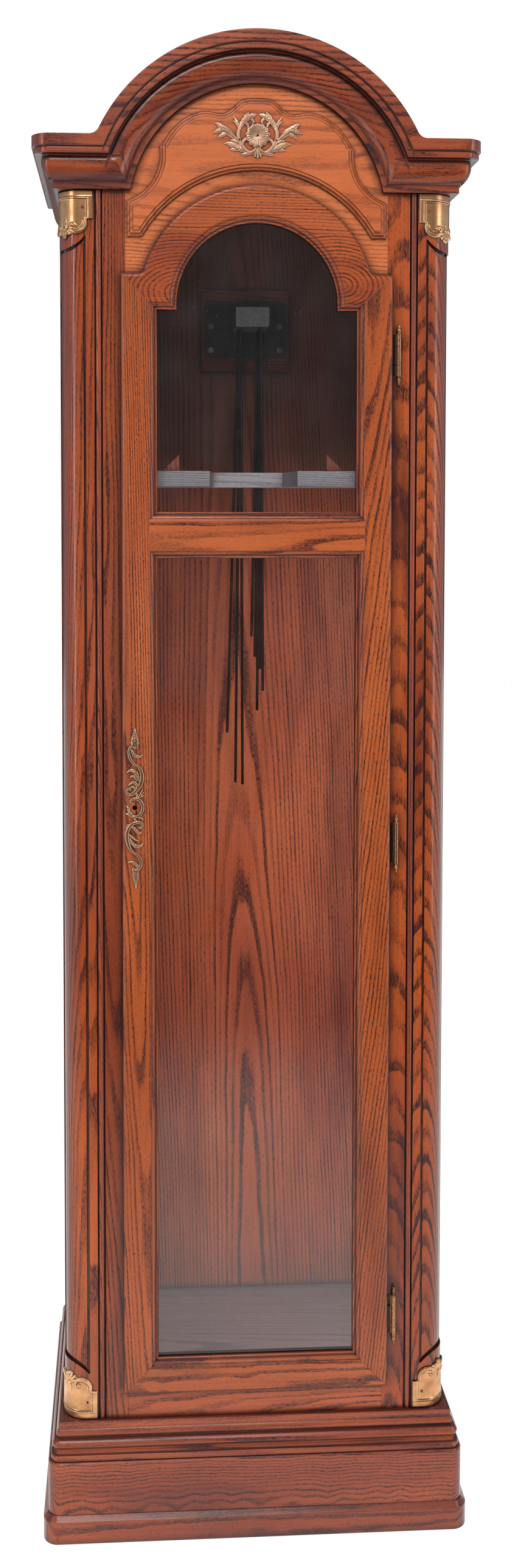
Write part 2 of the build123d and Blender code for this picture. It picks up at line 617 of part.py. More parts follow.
def make_door():
    lip = slab(door_outline(0), -DOOR_PROUD, -DOOR_GAP)
    rim = lip.faces().sort_by(Axis.Y)[0].outer_wire().edges()
    lip = fillet(rim, 5.0)
    slab_shape = lip + slab(door_outline(DOOR_HALF - DOOR_INSET_HALF), -DOOR_GAP - 0.01, DOOR_BACK)
    frame = slab_shape - window_cutter(*UPPER_PANE, True) - window_cutter(*LOWER_PANE, False)
    for z in HINGE_HEIGHTS:
        frame = frame - door_leaf_pocket(z)
        for place in door_screw_places(z):
            frame = frame - screw_hole(*place)
    frame = frame - rod(LOCK_X, FRONT - 20, LOCK_Z, LOCK_BORE_R, 40, (0, 1, 0))

    mid_low, mid_high = LOWER_PANE[1], UPPER_PANE[0]
    wide = WINDOW_HALF + STICKING
    right_end = [
        (WINDOW_HALF, mid_low),
        (wide, mid_low + STICKING),
        (wide, mid_high - STICKING),
        (WINDOW_HALF, mid_high),
    ]
    middle = prism(right_end + [(-x, z) for x, z in reversed(right_end)])
    save("door_middle_rail", frame & middle)
    frame = frame - middle

    inner = WINDOW_HALF - 60
    outer = DOOR_HALF + 60
    top_low, top_high = UPPER_PANE[1] - 60, DOOR_SHOULDER + 60
    right_end = [(inner, top_low), (outer, top_high), (outer, HEIGHT)]
    top = prism(right_end + [(-x, z) for x, z in reversed(right_end)])
    bottom_low, bottom_high = DOOR_BOTTOM - 60, LOWER_PANE[0] + 60
    bottom = prism([(-inner, bottom_high), (-outer, bottom_low), (outer, bottom_low), (inner, bottom_high)])
    save("door_bottom_rail", frame & bottom)
    stiles_left, stiles_right = side_halves(frame - bottom - top)
    save("door_stile_left", stiles_left)
    save("door_stile_right", stiles_right)
    head = frame & top
    save("door_arch_rail", head & block(-300, 300, -30, 30, ARCH_JOINT, HEIGHT))
    below_joint = block(-300, 300, -30, 30, ARCH_JOINT - 300, ARCH_JOINT)
    shoulder_left, shoulder_right = side_halves(head & below_joint)
    save("door_shoulder_left", shoulder_left)
    save("door_shoulder_right", shoulder_right)

    retainers = []
    for name, pane, arched in (("glass_upper", UPPER_PANE, True), ("glass_lower", LOWER_PANE, False)):
        save(name, slab(pane_outline(*pane, 7.4, arched), GLASS_DEPTH, GLASS_DEPTH + GLASS_THICK))
        strip = pane_outline(*pane, 7.8, arched) - pane_outline(*pane, 0.5, arched)
        retainers.append(slab(strip, GLASS_DEPTH + GLASS_THICK, DOOR_BACK - 0.5))
    save("glass_retainers", group(*retainers))


# ---------------------------------------------------------------- hinges
def case_leaf_pocket(z):
    face = block(OPENING_HALF - 1, HINGE_X + 3.2, 0 - 0.01, 0.65, z - HINGE_HALF, z + HINGE_HALF)
    edge = block(OPENING_HALF - 0.01, OPENING_HALF + LEAF, 0, 17, z - HINGE_HALF, z + HINGE_HALF)
    return face + edge


def door_leaf_pocket(z):
    face = block(DOOR_INSET_HALF - LEAF, DOOR_HALF + 1, -1.7, -DOOR_GAP, z - HINGE_HALF, z + HINGE_HALF)
    edge = block(DOOR_INSET_HALF - LEAF, DOOR_INSET_HALF + 1, -1.7, 8, z - HINGE_HALF, z + HINGE_HALF)
    return face + edge


def case_screw_places(z):
    """Screws of one case leaf, as arguments for screw and screw_hole."""
    return [(OPENING_HALF, FRONT + 11, z + dz, 2.6, 1.45, 13, (1, 0, 0)) for dz in (-17, 17)]


def door_screw_places(z):
    """Screws of one door leaf, as arguments for screw and screw_hole."""
    return [(DOOR_INSET_HALF, FRONT + 4.5, z + dz, 2.4, 1.45, 13, (-1, 0, 0)) for dz in (-9, 9)]


def knuckle(z, span):
    return rod(HINGE_X, FRONT + HINGE_DEPTH, z + span[0], BARREL_R, span[1] - span[0])


def finial_points():
    """(radius, height above the barrel's middle) of the turned end of a hinge pin."""
    turning = [
        (0, 0.2), (3.3, 0.2), (3.3, 1.6), (2.2, 2.0), (1.7, 3.0), (2.4, 4.4), (2.9, 6.0),
        (2.4, 7.6), (1.4, 9.0), (1.3, 10.2), (1.9, 11.2), (1.6, 12.4), (0, 13.0),
    ]
    return [(radius, HINGE_HALF + height) for radius, height in turning]


def case_leaf(z):
    """The leaf let into the stile, with the upper and lower knuckles."""
    low, high = z - HINGE_HALF, z + HINGE_HALF
    plate = block(OPENING_HALF, HINGE_X - 3.4, -0.35, 0.6, low, high)
    plate = plate + block(OPENING_HALF, OPENING_HALF + LEAF, -0.35, 17, low, high)
    for span in (KNUCKLES[0], KNUCKLES[2]):
        plate = plate + knuckle(z, span)
        plate = plate + block(HINGE_X - 3.5, HINGE_X - 0.2, -4.2, 0.6, z + span[0], z + span[1])
    for place in case_screw_places(z):
        plate = plate - screw_hole(*place)
    return plate


def door_leaf(z):
    """The leaf let into the door's edge, with the middle knuckle."""
    low, high = z - HINGE_HALF, z + HINGE_HALF
    inner = DOOR_INSET_HALF - LEAF
    span = KNUCKLES[1]
    plate = block(inner, DOOR_HALF + 0.5, -1.65, -0.6, low, high)
    plate = plate + block(inner, DOOR_INSET_HALF - 0.02, -1.65, 7.9, low, high) + knuckle(z, span)
    plate = plate + block(DOOR_HALF, HINGE_X - 0.2, -2.6, -0.6, z + span[0], z + span[1])
    plate = plate - block(HINGE_X - 1.5, HINGE_X + 5, -1.9, 5, low - 3, high + 3)
    for place in door_screw_places(z):
        plate = plate - screw_hole(*place)
    return plate


def make_hinges():
    y = FRONT + HINGE_DEPTH
    case_leaves, door_leaves, pins, case_screws, door_screws = [], [], [], [], []
    for z in HINGE_HEIGHTS:
        bore = rod(HINGE_X, y, z - 40, PIN_BORE_R, 80)
        case_leaves.append(case_leaf(z) - bore)
        door_leaves.append(door_leaf(z) - bore)
        case_screws += [screw(*place) for place in case_screw_places(z)]
        door_screws += [screw(*place) for place in door_screw_places(z)]
        top = turned(finial_points(), HINGE_X, y, z)
        low = turned([(radius, -height) for radius, height in finial_points()], HINGE_X, y, z)
        pins.append(rod(HINGE_X, y, z - HINGE_HALF - 1, PIN_R, 2 * HINGE_HALF + 2) + top + low)
    save("hinge_case_leaves", group(*case_leaves))
    save("hinge_door_leaves", group(*door_leaves))
    save("hinge_pins", group(*pins))
    save("hinge_case_screws", group(*case_screws))
    save("hinge_door_screws", group(*door_screws))


# ---------------------------------------------------------------- lock
def make_lock():
    body = block(LOCK_X - 7, LOCK_X + 15, DOOR_BACK, DOOR_BACK + 11, LOCK_Z - 22, LOCK_Z + 22)
    body = fillet(body.edges().filter_by(Axis.Y), 2)
    body = body - rod(LOCK_X, FRONT - 20, LOCK_Z, LOCK_BORE_R, 60, (0, 1, 0))
    save("lock_body", body)
    shaft = rod(LOCK_X, FRONT + DOOR_BACK - 4, LOCK_Z, LOCK_SHAFT_R, 19.5, (0, 1, 0))
    arm_face = Pos(LOCK_X, LOCK_Z - 9) * Rectangle(11, 18) + Pos(LOCK_X, LOCK_Z) * Circle(7)
    arm_face = arm_face + Pos(LOCK_X, LOCK_Z - 18) * Circle(5.5)
    arm = slab(arm_face, DOOR_BACK + 12.5, DOOR_BACK + 14.5)
    keyway = block(LOCK_X - 0.8, LOCK_X + 0.8, DOOR_BACK - 5, DOOR_BACK + 2, LOCK_Z - 2, LOCK_Z + 2)
    save("lock_cam", shaft + arm - keyway)


# ---------------------------------------------------------------- brass mounts
def mount_outline():
    """Front view of the upper right corner mount: a plate, a notch and a scroll below it."""
    inner, top = 217.6, MOUNT_TOP
    outline = Polyline(
        (inner, top), (inner, 1789.5), (inner + 6.5, 1789.5), (inner + 10.5, 1786.5),
        (inner + 10.2, 1781.0), (inner + 13.5, 1774.5), (inner + 20.0, 1770.2), (inner + 28.0, 1769.0),
        (inner + 34.0, 1764.0), (inner + 41.0, 1762.6), (inner + 46.5, 1766.0), (inner + 60.0, 1770.0),
        (inner + 60.0, top), close=True,
    )
    return make_face(outline)


def make_mount():
    plan_out = corner_plan(POST_CORNER_R, MOUNT_THICK, POST_DEPTH - 1)
    plan_in = corner_plan(POST_CORNER_R, 0.0, POST_DEPTH + 20)
    shell = upright(plan_out - plan_in, 1750, 1840)
    return shell & slab(mount_outline(), -20, 40)


def corner_plan(radius, grow, depth):
    """Plan of the post's rounded corner, grown by a distance."""
    x1 = CASE_HALF + grow
    y0 = FRONT - grow
    r = radius + grow
    body = Pos((200 + x1) / 2, (y0 + FRONT + depth) / 2) * Rectangle(x1 - 200, FRONT + depth - y0)
    square = Pos(x1 - r / 2, y0 + r / 2) * Rectangle(r, r)
    return body - (square - Pos(x1 - r, y0 + r) * Circle(r))


def make_brass():
    upper = make_mount()
    lower = upper.mirror(Plane(origin=(0, 0, (MOUNT_TOP + BASE_TOP + 0.5) / 2), z_dir=(0, 0, 1)))
    upper = upper - pin_hole(MOUNT_PIN_X, MOUNT_THICK, MOUNT_PIN_Z[1])
    lower = lower - pin_hole(MOUNT_PIN_X, MOUNT_THICK, MOUNT_PIN_Z[0])
    save_pair("corner_mount_top", upper)
    save_pair("corner_mount_bottom", lower)
    pins = [brass_pin(sx * MOUNT_PIN_X, MOUNT_THICK, z) for sx in (-1, 1) for z in MOUNT_PIN_Z]
    pins += [brass_pin(x, FRIEZE_PROUD + CREST_THICK, CREST_PIN_Z) for x in CREST_PINS]
    save("mount_pins", group(*pins))
    save("crest_ornament", make_crest())
    save("escutcheon", make_escutcheon())


def brass_pin(x, proud, z):
    """A round-headed pin whose head lies on a face that far in front of the case."""
    section = [(0, 1.1), (0.7, 1.0), (1.3, 0.6), (1.5, 0), (PIN_SHANK_R, 0), (PIN_SHANK_R, -13), (0, -14)]
    pin = revolve(Plane.XZ * make_face(Polyline(*section, close=True)), Axis.Z, 360)
    return Plane(origin=(x, FRONT - proud, z), z_dir=(0, -1, 0)) * pin


def pin_hole(x, proud, z):
    """The hole for a brass pin's shank."""
    return rod(x, FRONT - proud - 1, z, PIN_SHANK_R + 0.05, 16, (0, 1, 0))


def leaf_shape(width, *points):
    """A leaf that follows a curve, widest in its middle."""
    curve = Spline(*points)
    left, right = [], []
    for t in (0.0, 0.25, 0.5, 0.75, 1.0):
        along = curve % t
        side = Vector(-along.Y, along.X) * width * (0.3 + 0.7 * math.sin(math.pi * t))
        left.append(curve @ t + side)
        right.append(curve @ t - side)
    edges = [Spline(*left), Line(left[-1], right[-1]), Spline(*reversed(right)), Line(right[0], left[0])]
    return make_face(edges)


def make_crest():
    """A flower between two pairs of leaves."""
    z = CREST_Z
    side = leaf_shape(4.4, (8, z - 11), (22, z - 10), (27, z + 2), (22, z + 15), (12, z + 22))
    side = side + leaf_shape(4.6, (23, z - 3), (34, z + 5), (46, z + 8), (56, z + 3))
    side = side + leaf_shape(4.0, (5, z - 12), (18, z - 20), (32, z - 18), (44, z - 13))
    face = Pos(0, CREST_Z) * Circle(15.0) + side + mirror(side, Plane.YZ)
    crest = slab(face, -FRIEZE_PROUD - CREST_THICK, -FRIEZE_PROUD)
    for x in CREST_PINS:
        crest = crest - pin_hole(x, FRIEZE_PROUD + CREST_THICK, CREST_PIN_Z)
    return crest


def make_escutcheon():
    """A keyhole ring with a scrolled arm above and below it."""
    arm = leaf_shape(4.6, (LOCK_X + 3, LOCK_Z + 8), (LOCK_X + 6, LOCK_Z + 26), (LOCK_X - 3, LOCK_Z + 50))
    arm = arm + leaf_shape(5.0, (LOCK_X - 4, LOCK_Z + 44), (LOCK_X + 7, LOCK_Z + 64), (LOCK_X + 1, LOCK_Z + 86))
    arm = arm + leaf_shape(4.4, (LOCK_X + 2, LOCK_Z + 80), (LOCK_X + 2, LOCK_Z + 94), (LOCK_X, LOCK_Z + 109))
    other = arm.rotate(Axis(origin=(LOCK_X, LOCK_Z, 0), direction=(0, 0, 1)), 180)
    face = Pos(LOCK_X, LOCK_Z) * Circle(12.0) + arm + other
    face = face - Pos(LOCK_X, LOCK_Z) * Circle(2.2) - Pos(LOCK_X, LOCK_Z - 3.5) * Rectangle(1.8, 6)
    return slab(face, -DOOR_PROUD - PLATE_THICK, -DOOR_PROUD)


# ---------------------------------------------------------------- inside
def chime_rods():
    """(X at the block, X at the lower end, depth, height of the lower end) of each rod."""
    return (
        (-3.0, -21.0, 286.0, 1062.0),
        (-3.0, -9.5, 268.0, 988.0),
        (-3.0, 0.0, 250.0, 988.0),
        (27.0, 17.5, 298.0, 1209.0),
        (27.0, 21.6, 285.0, 1179.0),
        (27.0, 24.0, 272.0, 1098.0),
        (27.0, 27.0, 259.0, 1163.0),
        (27.0, 30.4, 246.0, 1131.0),
    )


def make_inside():
    seat_low, seat_high = SEAT_BOARD
    front_edge, back_edge = SEAT_DEPTHS
    notch_front, notch_end, notch_depth = SEAT_NOTCH
    right_half = [
        (notch_end, FRONT + notch_depth),
        (notch_front, FRONT + front_edge),
        (SIDE_PANEL_INNER, FRONT + front_edge),
        (SIDE_PANEL_INNER, FRONT + back_edge),
    ]
    plan = Polyline(*right_half, *[(-x, y) for x, y in reversed(right_half)], close=True)
    save("seat_board", upright(make_face(plan), seat_low, seat_high))
    cleat_inner = SIDE_PANEL_INNER - CLEAT_TALL
    cleat_low = seat_low - CLEAT_TALL
    cleat = block(cleat_inner, SIDE_PANEL_INNER, POST_DEPTH, REAR_STILE_DEPTH, cleat_low, seat_low)
    save("seat_board_cleats", group(cleat, mirrored(cleat)))
    near, far = WEDGE_X
    outline = Polyline((near, seat_high), (far, seat_high), (near, seat_high + WEDGE_TALL), close=True)
    wedge = slab(make_face(outline), *WEDGE_DEPTHS)
    save("seat_board_wedges", group(wedge, mirrored(wedge)))

    left, right, low, high = CHIME_BOARD
    board = block(left, right, CHIME_BOARD_DEPTH, BACK_PANEL_DEPTH, low, high)
    middle_x, middle_z, wide, tall = CHIME_PLATE
    outline = Pos(middle_x, middle_z) * RectangleRounded(wide, tall, 9)
    plate = slab(outline, CHIME_PLATE_DEPTH, CHIME_BOARD_DEPTH)
    screws = []
    for x in (middle_x - 54, middle_x + 52):
        for z in (middle_z - 31, middle_z + 5):
            place = (x, FRONT + CHIME_PLATE_DEPTH, z, 4.2, 2.0, 16, (0, 1, 0))
            screws.append(screw(*place))
            plate = plate - screw_hole(*place)
            board = board - screw_hole(*place)
    save("chime_board", board)
    save("chime_plate", plate)
    save("chime_screws", group(*screws))

    left, right, low, high = CHIME_BLOCK
    bar = block(left, right, CHIME_BLOCK_DEPTH, CHIME_PLATE_DEPTH, low, high)
    bar = fillet(bar.edges().filter_by(Axis.Y), 1.5)
    rods = []
    for x_top, x_low, depth, z_low in chime_rods():
        start = Vector(x_top, FRONT + depth, CHIME_ROD_TOP)
        path = Vector(x_low, FRONT + depth, z_low) - start
        wire = rod(*start, CHIME_ROD_R, path.length, path.normalized())
        rods.append(wire)
        bar = bar - wire
    save("chime_block", bar)
    save("chime_rods", group(*rods))


make_base()
make_case()
make_crown()
make_door()
make_hinges()
make_lock()
make_brass()
make_inside()
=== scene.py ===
"""Looks for the long-case clock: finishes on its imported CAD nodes, cast brass ornaments, light and camera."""

import math

import bpy
import numpy as np
from mathutils import Euler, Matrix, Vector


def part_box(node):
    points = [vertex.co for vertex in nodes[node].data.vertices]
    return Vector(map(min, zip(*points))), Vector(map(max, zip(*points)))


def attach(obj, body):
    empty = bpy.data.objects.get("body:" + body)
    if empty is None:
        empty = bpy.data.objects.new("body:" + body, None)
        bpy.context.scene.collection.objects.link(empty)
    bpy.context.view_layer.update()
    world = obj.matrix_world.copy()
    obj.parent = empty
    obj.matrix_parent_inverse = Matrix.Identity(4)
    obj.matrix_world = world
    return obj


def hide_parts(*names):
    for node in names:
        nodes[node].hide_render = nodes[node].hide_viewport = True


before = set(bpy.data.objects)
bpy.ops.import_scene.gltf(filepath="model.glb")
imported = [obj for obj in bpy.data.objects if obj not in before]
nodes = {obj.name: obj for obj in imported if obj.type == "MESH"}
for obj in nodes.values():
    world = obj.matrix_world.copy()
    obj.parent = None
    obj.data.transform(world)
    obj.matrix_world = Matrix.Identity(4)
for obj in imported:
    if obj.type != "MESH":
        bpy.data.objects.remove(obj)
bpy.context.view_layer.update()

MM = 0.001
CASE_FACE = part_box("front_stile_left")[0].y      # the front plane of the case
DOOR_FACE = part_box("door_bottom_rail")[0].y
FRIEZE_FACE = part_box("frieze_panel")[0].y


# ---------------------------------------------------------------- shader graphs
def srgb(red, green, blue):
    """A colour given as 0 to 255 on screen, as the linear colour that shaders take."""
    def linear(value):
        value = value / 255
        return value / 12.92 if value <= 0.04045 else ((value + 0.055) / 1.055) ** 2.4
    return (linear(red), linear(green), linear(blue), 1.0)


class Graph:
    """Adds shader nodes in one line each. An input is a number, a tuple or another node's output."""

    def __init__(self, tree):
        self.tree = tree

    def node(self, kind, inputs=None, **settings):
        made = self.tree.nodes.new("ShaderNode" + kind)
        for name, value in settings.items():
            setattr(made, name, value)
        for key, value in (inputs or {}).items():
            if isinstance(value, bpy.types.NodeSocket):
                self.tree.links.new(value, made.inputs[key])
            else:
                made.inputs[key].default_value = value
        return made

    def math(self, operation, *values):
        return self.node("Math", dict(enumerate(values)), operation=operation).outputs[0]

    def vector(self, operation, *values):
        return self.node("VectorMath", dict(enumerate(values)), operation=operation).outputs[0]

    def remap(self, value, low, high, to_low=0.0, to_high=1.0):
        inputs = {0: value, 1: low, 2: high, 3: to_low, 4: to_high}
        return self.node("MapRange", inputs).outputs[0]

    def mix(self, factor, first, second):
        return self.node("Mix", {0: factor, 6: first, 7: second}, data_type="RGBA").outputs[2]

    def noise(self, point, scale, stretch=(1.0, 1.0, 1.0), detail=2.0, seed=(0.0, 0.0, 0.0)):
        """Noise from 0 to 1 whose features are about 1/scale metres wide, longer where stretch is under 1."""
        factors = tuple(scale * s for s in stretch)
        placed = self.vector("MULTIPLY_ADD", point, factors, seed)
        return self.node("TexNoise", {"Vector": placed, "Scale": 1.0, "Detail": detail}).outputs[0]

    def ramp(self, value, *stops):
        """A grey ramp through (position, value) stops."""
        made = self.node("ValToRGB", {0: value})
        elements = made.color_ramp.elements
        while len(elements) < len(stops):
            elements.new(0.5)
        for element, (position, grey) in zip(elements, stops):
            element.position = position
            element.color = (grey, grey, grey, 1.0)
        return made.outputs[0]

    def occlusion(self, distance, low, high, samples=6):
        """1 in grooves and corners, 0 on open faces."""
        made = self.node("AmbientOcclusion", {"Distance": distance}, samples=samples)
        return self.remap(made.outputs["AO"], low, high, 1.0, 0.0)


def wood_group():
    """The figure of a board in its own frame: X across its face, Y into it, Z along the grain."""
    group = bpy.data.node_groups.new("wood_figure", "ShaderNodeTree")
    face = group.interface
    for name in ("Point", "Seed", "Heart", "Lean"):
        face.new_socket(name, in_out="INPUT", socket_type="NodeSocketVector")
    for name in ("Ring", "Wave", "Strength", "Smudge"):
        face.new_socket(name, in_out="INPUT", socket_type="NodeSocketFloat")
    for name in ("Figure", "Cloud", "Smudges", "Streak", "Specks", "Height"):
        face.new_socket(name, in_out="OUTPUT", socket_type="NodeSocketFloat")
    g = Graph(group)
    given = group.nodes.new("NodeGroupInput").outputs
    point = g.vector("ADD", given["Point"], given["Seed"])

    def wander(scale, stretch, amount, detail=2.0):
        return g.math("MULTIPLY", g.math("SUBTRACT", g.noise(point, scale, stretch, detail), 0.5), amount)

    # rings round a heart line that leans, so that a flat face cuts them into long arches
    centred = g.vector("SUBTRACT", given["Point"], given["Heart"])
    parts = g.node("SeparateXYZ", {0: centred}).outputs
    lean = g.node("SeparateXYZ", {0: given["Lean"]}).outputs
    across = g.math("ADD", g.math("MULTIPLY_ADD", parts[2], lean[0], parts[0]), wander(5, (1, 1, 0.2), 0.022))
    depth = g.math("ADD", g.math("MULTIPLY_ADD", parts[2], lean[1], parts[1]), wander(4, (1, 1, 0.22), 0.03))
    squared = g.math("MULTIPLY_ADD", across, across, g.math("MULTIPLY", depth, depth))
    radius = g.math("SQRT", squared)
    radius = g.math("ADD", radius, wander(28, (1, 1, 0.16), 0.0045))
    radius = g.math("ADD", radius, wander(150, (1, 1, 0.14), 0.0012))
    ripple = g.math("SUBTRACT", g.noise(point, 30, (0.6, 0.6, 1.0), 1.0), 0.5)
    radius = g.math("MULTIPLY_ADD", ripple, given["Wave"], radius)
    phase = g.math("DIVIDE", radius, given["Ring"])
    ring_place = g.math("FRACT", phase)
    ring_dark = g.node("TexWhiteNoise", {"W": g.math("FLOOR", phase)}, noise_dimensions="1D").outputs[0]
    early = g.ramp(ring_place, (0.0, 0.3), (0.08, 1.0), (0.3, 0.85), (0.48, 0.15), (0.8, 0.0), (1.0, 0.05))
    early = g.math("MULTIPLY", early, g.remap(ring_dark, 0, 1, 0.4, 1.0))
    patchy = g.remap(g.noise(point, 60, (1, 1, 0.25), 2.0), 0.3, 0.6, 0.6, 1.0)
    early = g.math("MULTIPLY", early, patchy)

    # open pores, as short dashes along the grain, thickest in the dark part of a ring
    pores = g.remap(g.noise(point, 1700, (1, 1, 0.1), 1.0), 0.47, 0.6)
    pores = g.math("MULTIPLY", pores, g.math("MULTIPLY_ADD", early, 0.7, 0.34))
    streak = g.noise(point, 420, (1, 1, 0.03), 2.0)
    figure = g.math("MULTIPLY_ADD", pores, 0.6, g.math("MULTIPLY", early, 0.66))
    figure = g.math("ADD", figure, g.remap(streak, 0.35, 0.75, -0.06, 0.2))
    figure = g.math("MULTIPLY", g.remap(figure, 0.1, 0.86), given["Strength"])
    cloud = g.remap(g.noise(point, 9, (1, 1, 0.25), 3.0), 0.32, 0.68)
    smudges = g.remap(g.noise(point, 22, (1, 1, 0.16), 4.0), 0.5, 0.68)
    smudges = g.math("MULTIPLY", smudges, given["Smudge"])

    # fly specks: small dark spots that the finisher flicks on
    cells = g.node("TexVoronoi", {"Vector": g.vector("ADD", point, (3.1, 1.7, 5.3)), "Scale": 220.0})
    size = g.remap(g.node("SeparateXYZ", {0: cells.outputs["Color"]}).outputs[1], 0.1, 1, 0.05, 0.17)
    specks = g.remap(g.math("DIVIDE", cells.outputs["Distance"], size), 0.75, 1.15, 1.0, 0.0)

    height = g.math("SUBTRACT", 1.0, g.math("MAXIMUM", pores, specks))
    height = g.math("MULTIPLY_ADD", early, -0.25, height)
    out = group.nodes.new("NodeGroupOutput")
    for socket, value in zip(out.inputs, (figure, cloud, smudges, streak, specks, height)):
        group.links.new(value, socket)
    return group


WOOD = wood_group()


def new_material(name):
    """An empty material and the graph to fill it with."""
    made = bpy.data.materials.new(name)
    made.use_nodes = True
    made.node_tree.nodes.clear()
    return made, Graph(made.node_tree)


def finish_material(g, shader):
    g.node("OutputMaterial", {0: shader})


def softened(g, radius, height, strength, distance):
    """A normal with soft edges, and the same normal with a bump from a height."""
    edge = g.node("Bevel", {"Radius": radius}, samples=6).outputs[0]
    inputs = {"Strength": strength, "Distance": distance, "Height": height, "Normal": edge}
    return edge, g.node("Bump", inputs).outputs[0]


OAK_LIGHT = dict(light=srgb(208, 106, 54), mid=srgb(182, 86, 42), dark=srgb(70, 29, 24))
OAK_PALE = dict(light=srgb(238, 132, 74), mid=srgb(216, 110, 60), dark=srgb(104, 46, 34))
OAK = dict(light=srgb(204, 98, 46), mid=srgb(166, 70, 34), dark=srgb(48, 18, 19))
OAK_RED = dict(light=srgb(200, 98, 54), mid=srgb(152, 67, 41), dark=srgb(54, 23, 26))
OAK_BROWN = dict(light=srgb(186, 90, 46), mid=srgb(144, 62, 34), dark=srgb(52, 20, 20))
OAK_INSIDE = dict(light=srgb(226, 118, 72), mid=srgb(188, 84, 52), dark=srgb(70, 28, 28))
PLAIN = dict(light=srgb(190, 140, 92), mid=srgb(160, 110, 68), dark=srgb(112, 72, 42))
# painted shade colour for grooves and corners, also standing for dark glazing left in recesses
RECESS_SHADE_AND_GLAZE = srgb(38, 16, 19)
SMUDGE = srgb(66, 26, 28)
EDGE_SHADE_AND_GLAZE = srgb(74, 34, 36)       # painted shade on faces turned away from the board's front, such as rounded and moulded edges, also standing for a darker finish there


def wood(name, axes, tone, heart=(0.0, 0.06, 0.0), ring=0.0025, wave=0.0, lean=(0.035, 0.02, 0.0),
         strength=1.0, smudge=0.35, glaze=0.012, gloss=True, shade_above=None):
    """Stained wood. axes names the frame axes across the face, into it and along the grain, such as xyz.

    Distances are in metres: ring is a year's growth, wave its waviness, and the reach argument how far from
    grooves and corners the painted shade, which also stands for dark glazing, darkens the wood. shade_above is
    the height above which painted shade darkens the inner face of a board.
    """
    material, g = new_material(name)
    seen = g.node("TexCoord").outputs
    place = g.node("SeparateXYZ", {0: seen["Object"]}).outputs
    point = g.node("CombineXYZ", {i: place["xyz".index(a)] for i, a in enumerate(axes)}).outputs[0]
    facing = g.node("SeparateXYZ", {0: seen["Normal"]}).outputs["xyz".index(axes[1])]
    # painted shade: faces turned away from the board's front, as on rounded and moulded edges, darken, more on
    # glossy boards
    turned_shade = g.remap(g.math("ABSOLUTE", facing), 0.3, 0.985, 0.66 if gloss else 0.2, 0.0)
    number = len(bpy.data.materials)
    seed = (1.37 * number, 2.11 * number, 0.73 * number)        # each board is cut from another place
    out = g.node("Group", {
        "Point": point, "Seed": seed, "Heart": heart, "Lean": lean, "Ring": ring, "Wave": wave,
        "Strength": strength, "Smudge": smudge,
    }, node_tree=WOOD).outputs
    colour = g.mix(out["Cloud"], tone["mid"], tone["light"])
    colour = g.mix(out["Figure"], colour, tone["dark"])
    colour = g.mix(out["Smudges"], colour, SMUDGE)
    # painted shade on turned faces, also standing for a darker finish on the edges
    colour = g.mix(turned_shade, colour, EDGE_SHADE_AND_GLAZE)
    # painted shade: grooves and corners found by an occlusion test are darkened, which also stands for dark
    # glazing left in recesses
    amount = g.math("MULTIPLY", g.occlusion(glaze, 0.5, 0.95), 0.94 if gloss else 0.4)
    colour = g.mix(amount, colour, RECESS_SHADE_AND_GLAZE)
    colour = g.mix(g.math("MULTIPLY", out["Specks"], 0.9), colour, srgb(24, 10, 10))
    rough_low, rough_high = (0.3, 0.46) if gloss else (0.5, 0.7)
    rough = g.remap(g.math("ADD", out["Streak"], out["Figure"]), 0.3, 1.5, rough_low, rough_high)
    smooth, bumped = softened(g, 0.002, out["Height"], 0.3 if gloss else 0.6, 0.00025)
    # painted shade: the inner face above shade_above darkens, for the shade in the upper part of the case
    if shade_above:
        above = g.remap(place[2], shade_above - 0.06, shade_above + 0.06, 0.0, 0.75)
        inside = g.math("LESS_THAN", facing, 0.0)
        colour = g.mix(g.math("MULTIPLY", above, inside), colour, srgb(30, 16, 18))
    shader = g.node("BsdfPrincipled", {
        "Base Color": colour, "Roughness": rough, "Normal": bumped, "Specular IOR Level": 0.3,
        "Coat Weight": 0.5 if gloss else 0.0, "Coat Roughness": 0.15, "Coat Normal": smooth,
    })
    finish_material(g, shader.outputs[0])
    return material


def metal(name, bright, worn, dark, rough=(0.25, 0.45), scale=60.0, depth=0.004, carved=False):
    """Metal with cloudy tarnish, darker in its recesses. Carved metal is also rubbed bright on its ridges,
    which is also a painted highlight.
    """
    material, g = new_material(name)
    point = g.node("TexCoord").outputs["Object"]
    tarnish = g.remap(g.noise(point, scale, detail=4.0), 0.35, 0.7)
    fine = g.noise(point, scale * 14, detail=2.0)
    colour = g.mix(tarnish, bright, worn)
    colour = g.mix(g.occlusion(depth, 0.3, 0.86, samples=16), colour, dark)
    if carved:
        ridge = g.node("NewGeometry").outputs["Pointiness"]
        colour = g.mix(g.remap(ridge, 0.44, 0.505, 0.85, 0.0), colour, dark)
        # ridges rubbed bright, and also a painted highlight on them
        colour = g.mix(g.remap(ridge, 0.51, 0.56, 0.0, 0.8), colour, srgb(255, 224, 190))
    shader = g.node("BsdfPrincipled", {
        "Base Color": colour, "Metallic": 0.88,
        "Roughness": g.remap(g.math("ADD", tarnish, fine), 0.4, 1.5, *rough),
        "Normal": softened(g, 0.0004, fine, 0.12, 0.0001)[1],
    })
    finish_material(g, shader.outputs[0])
    return material


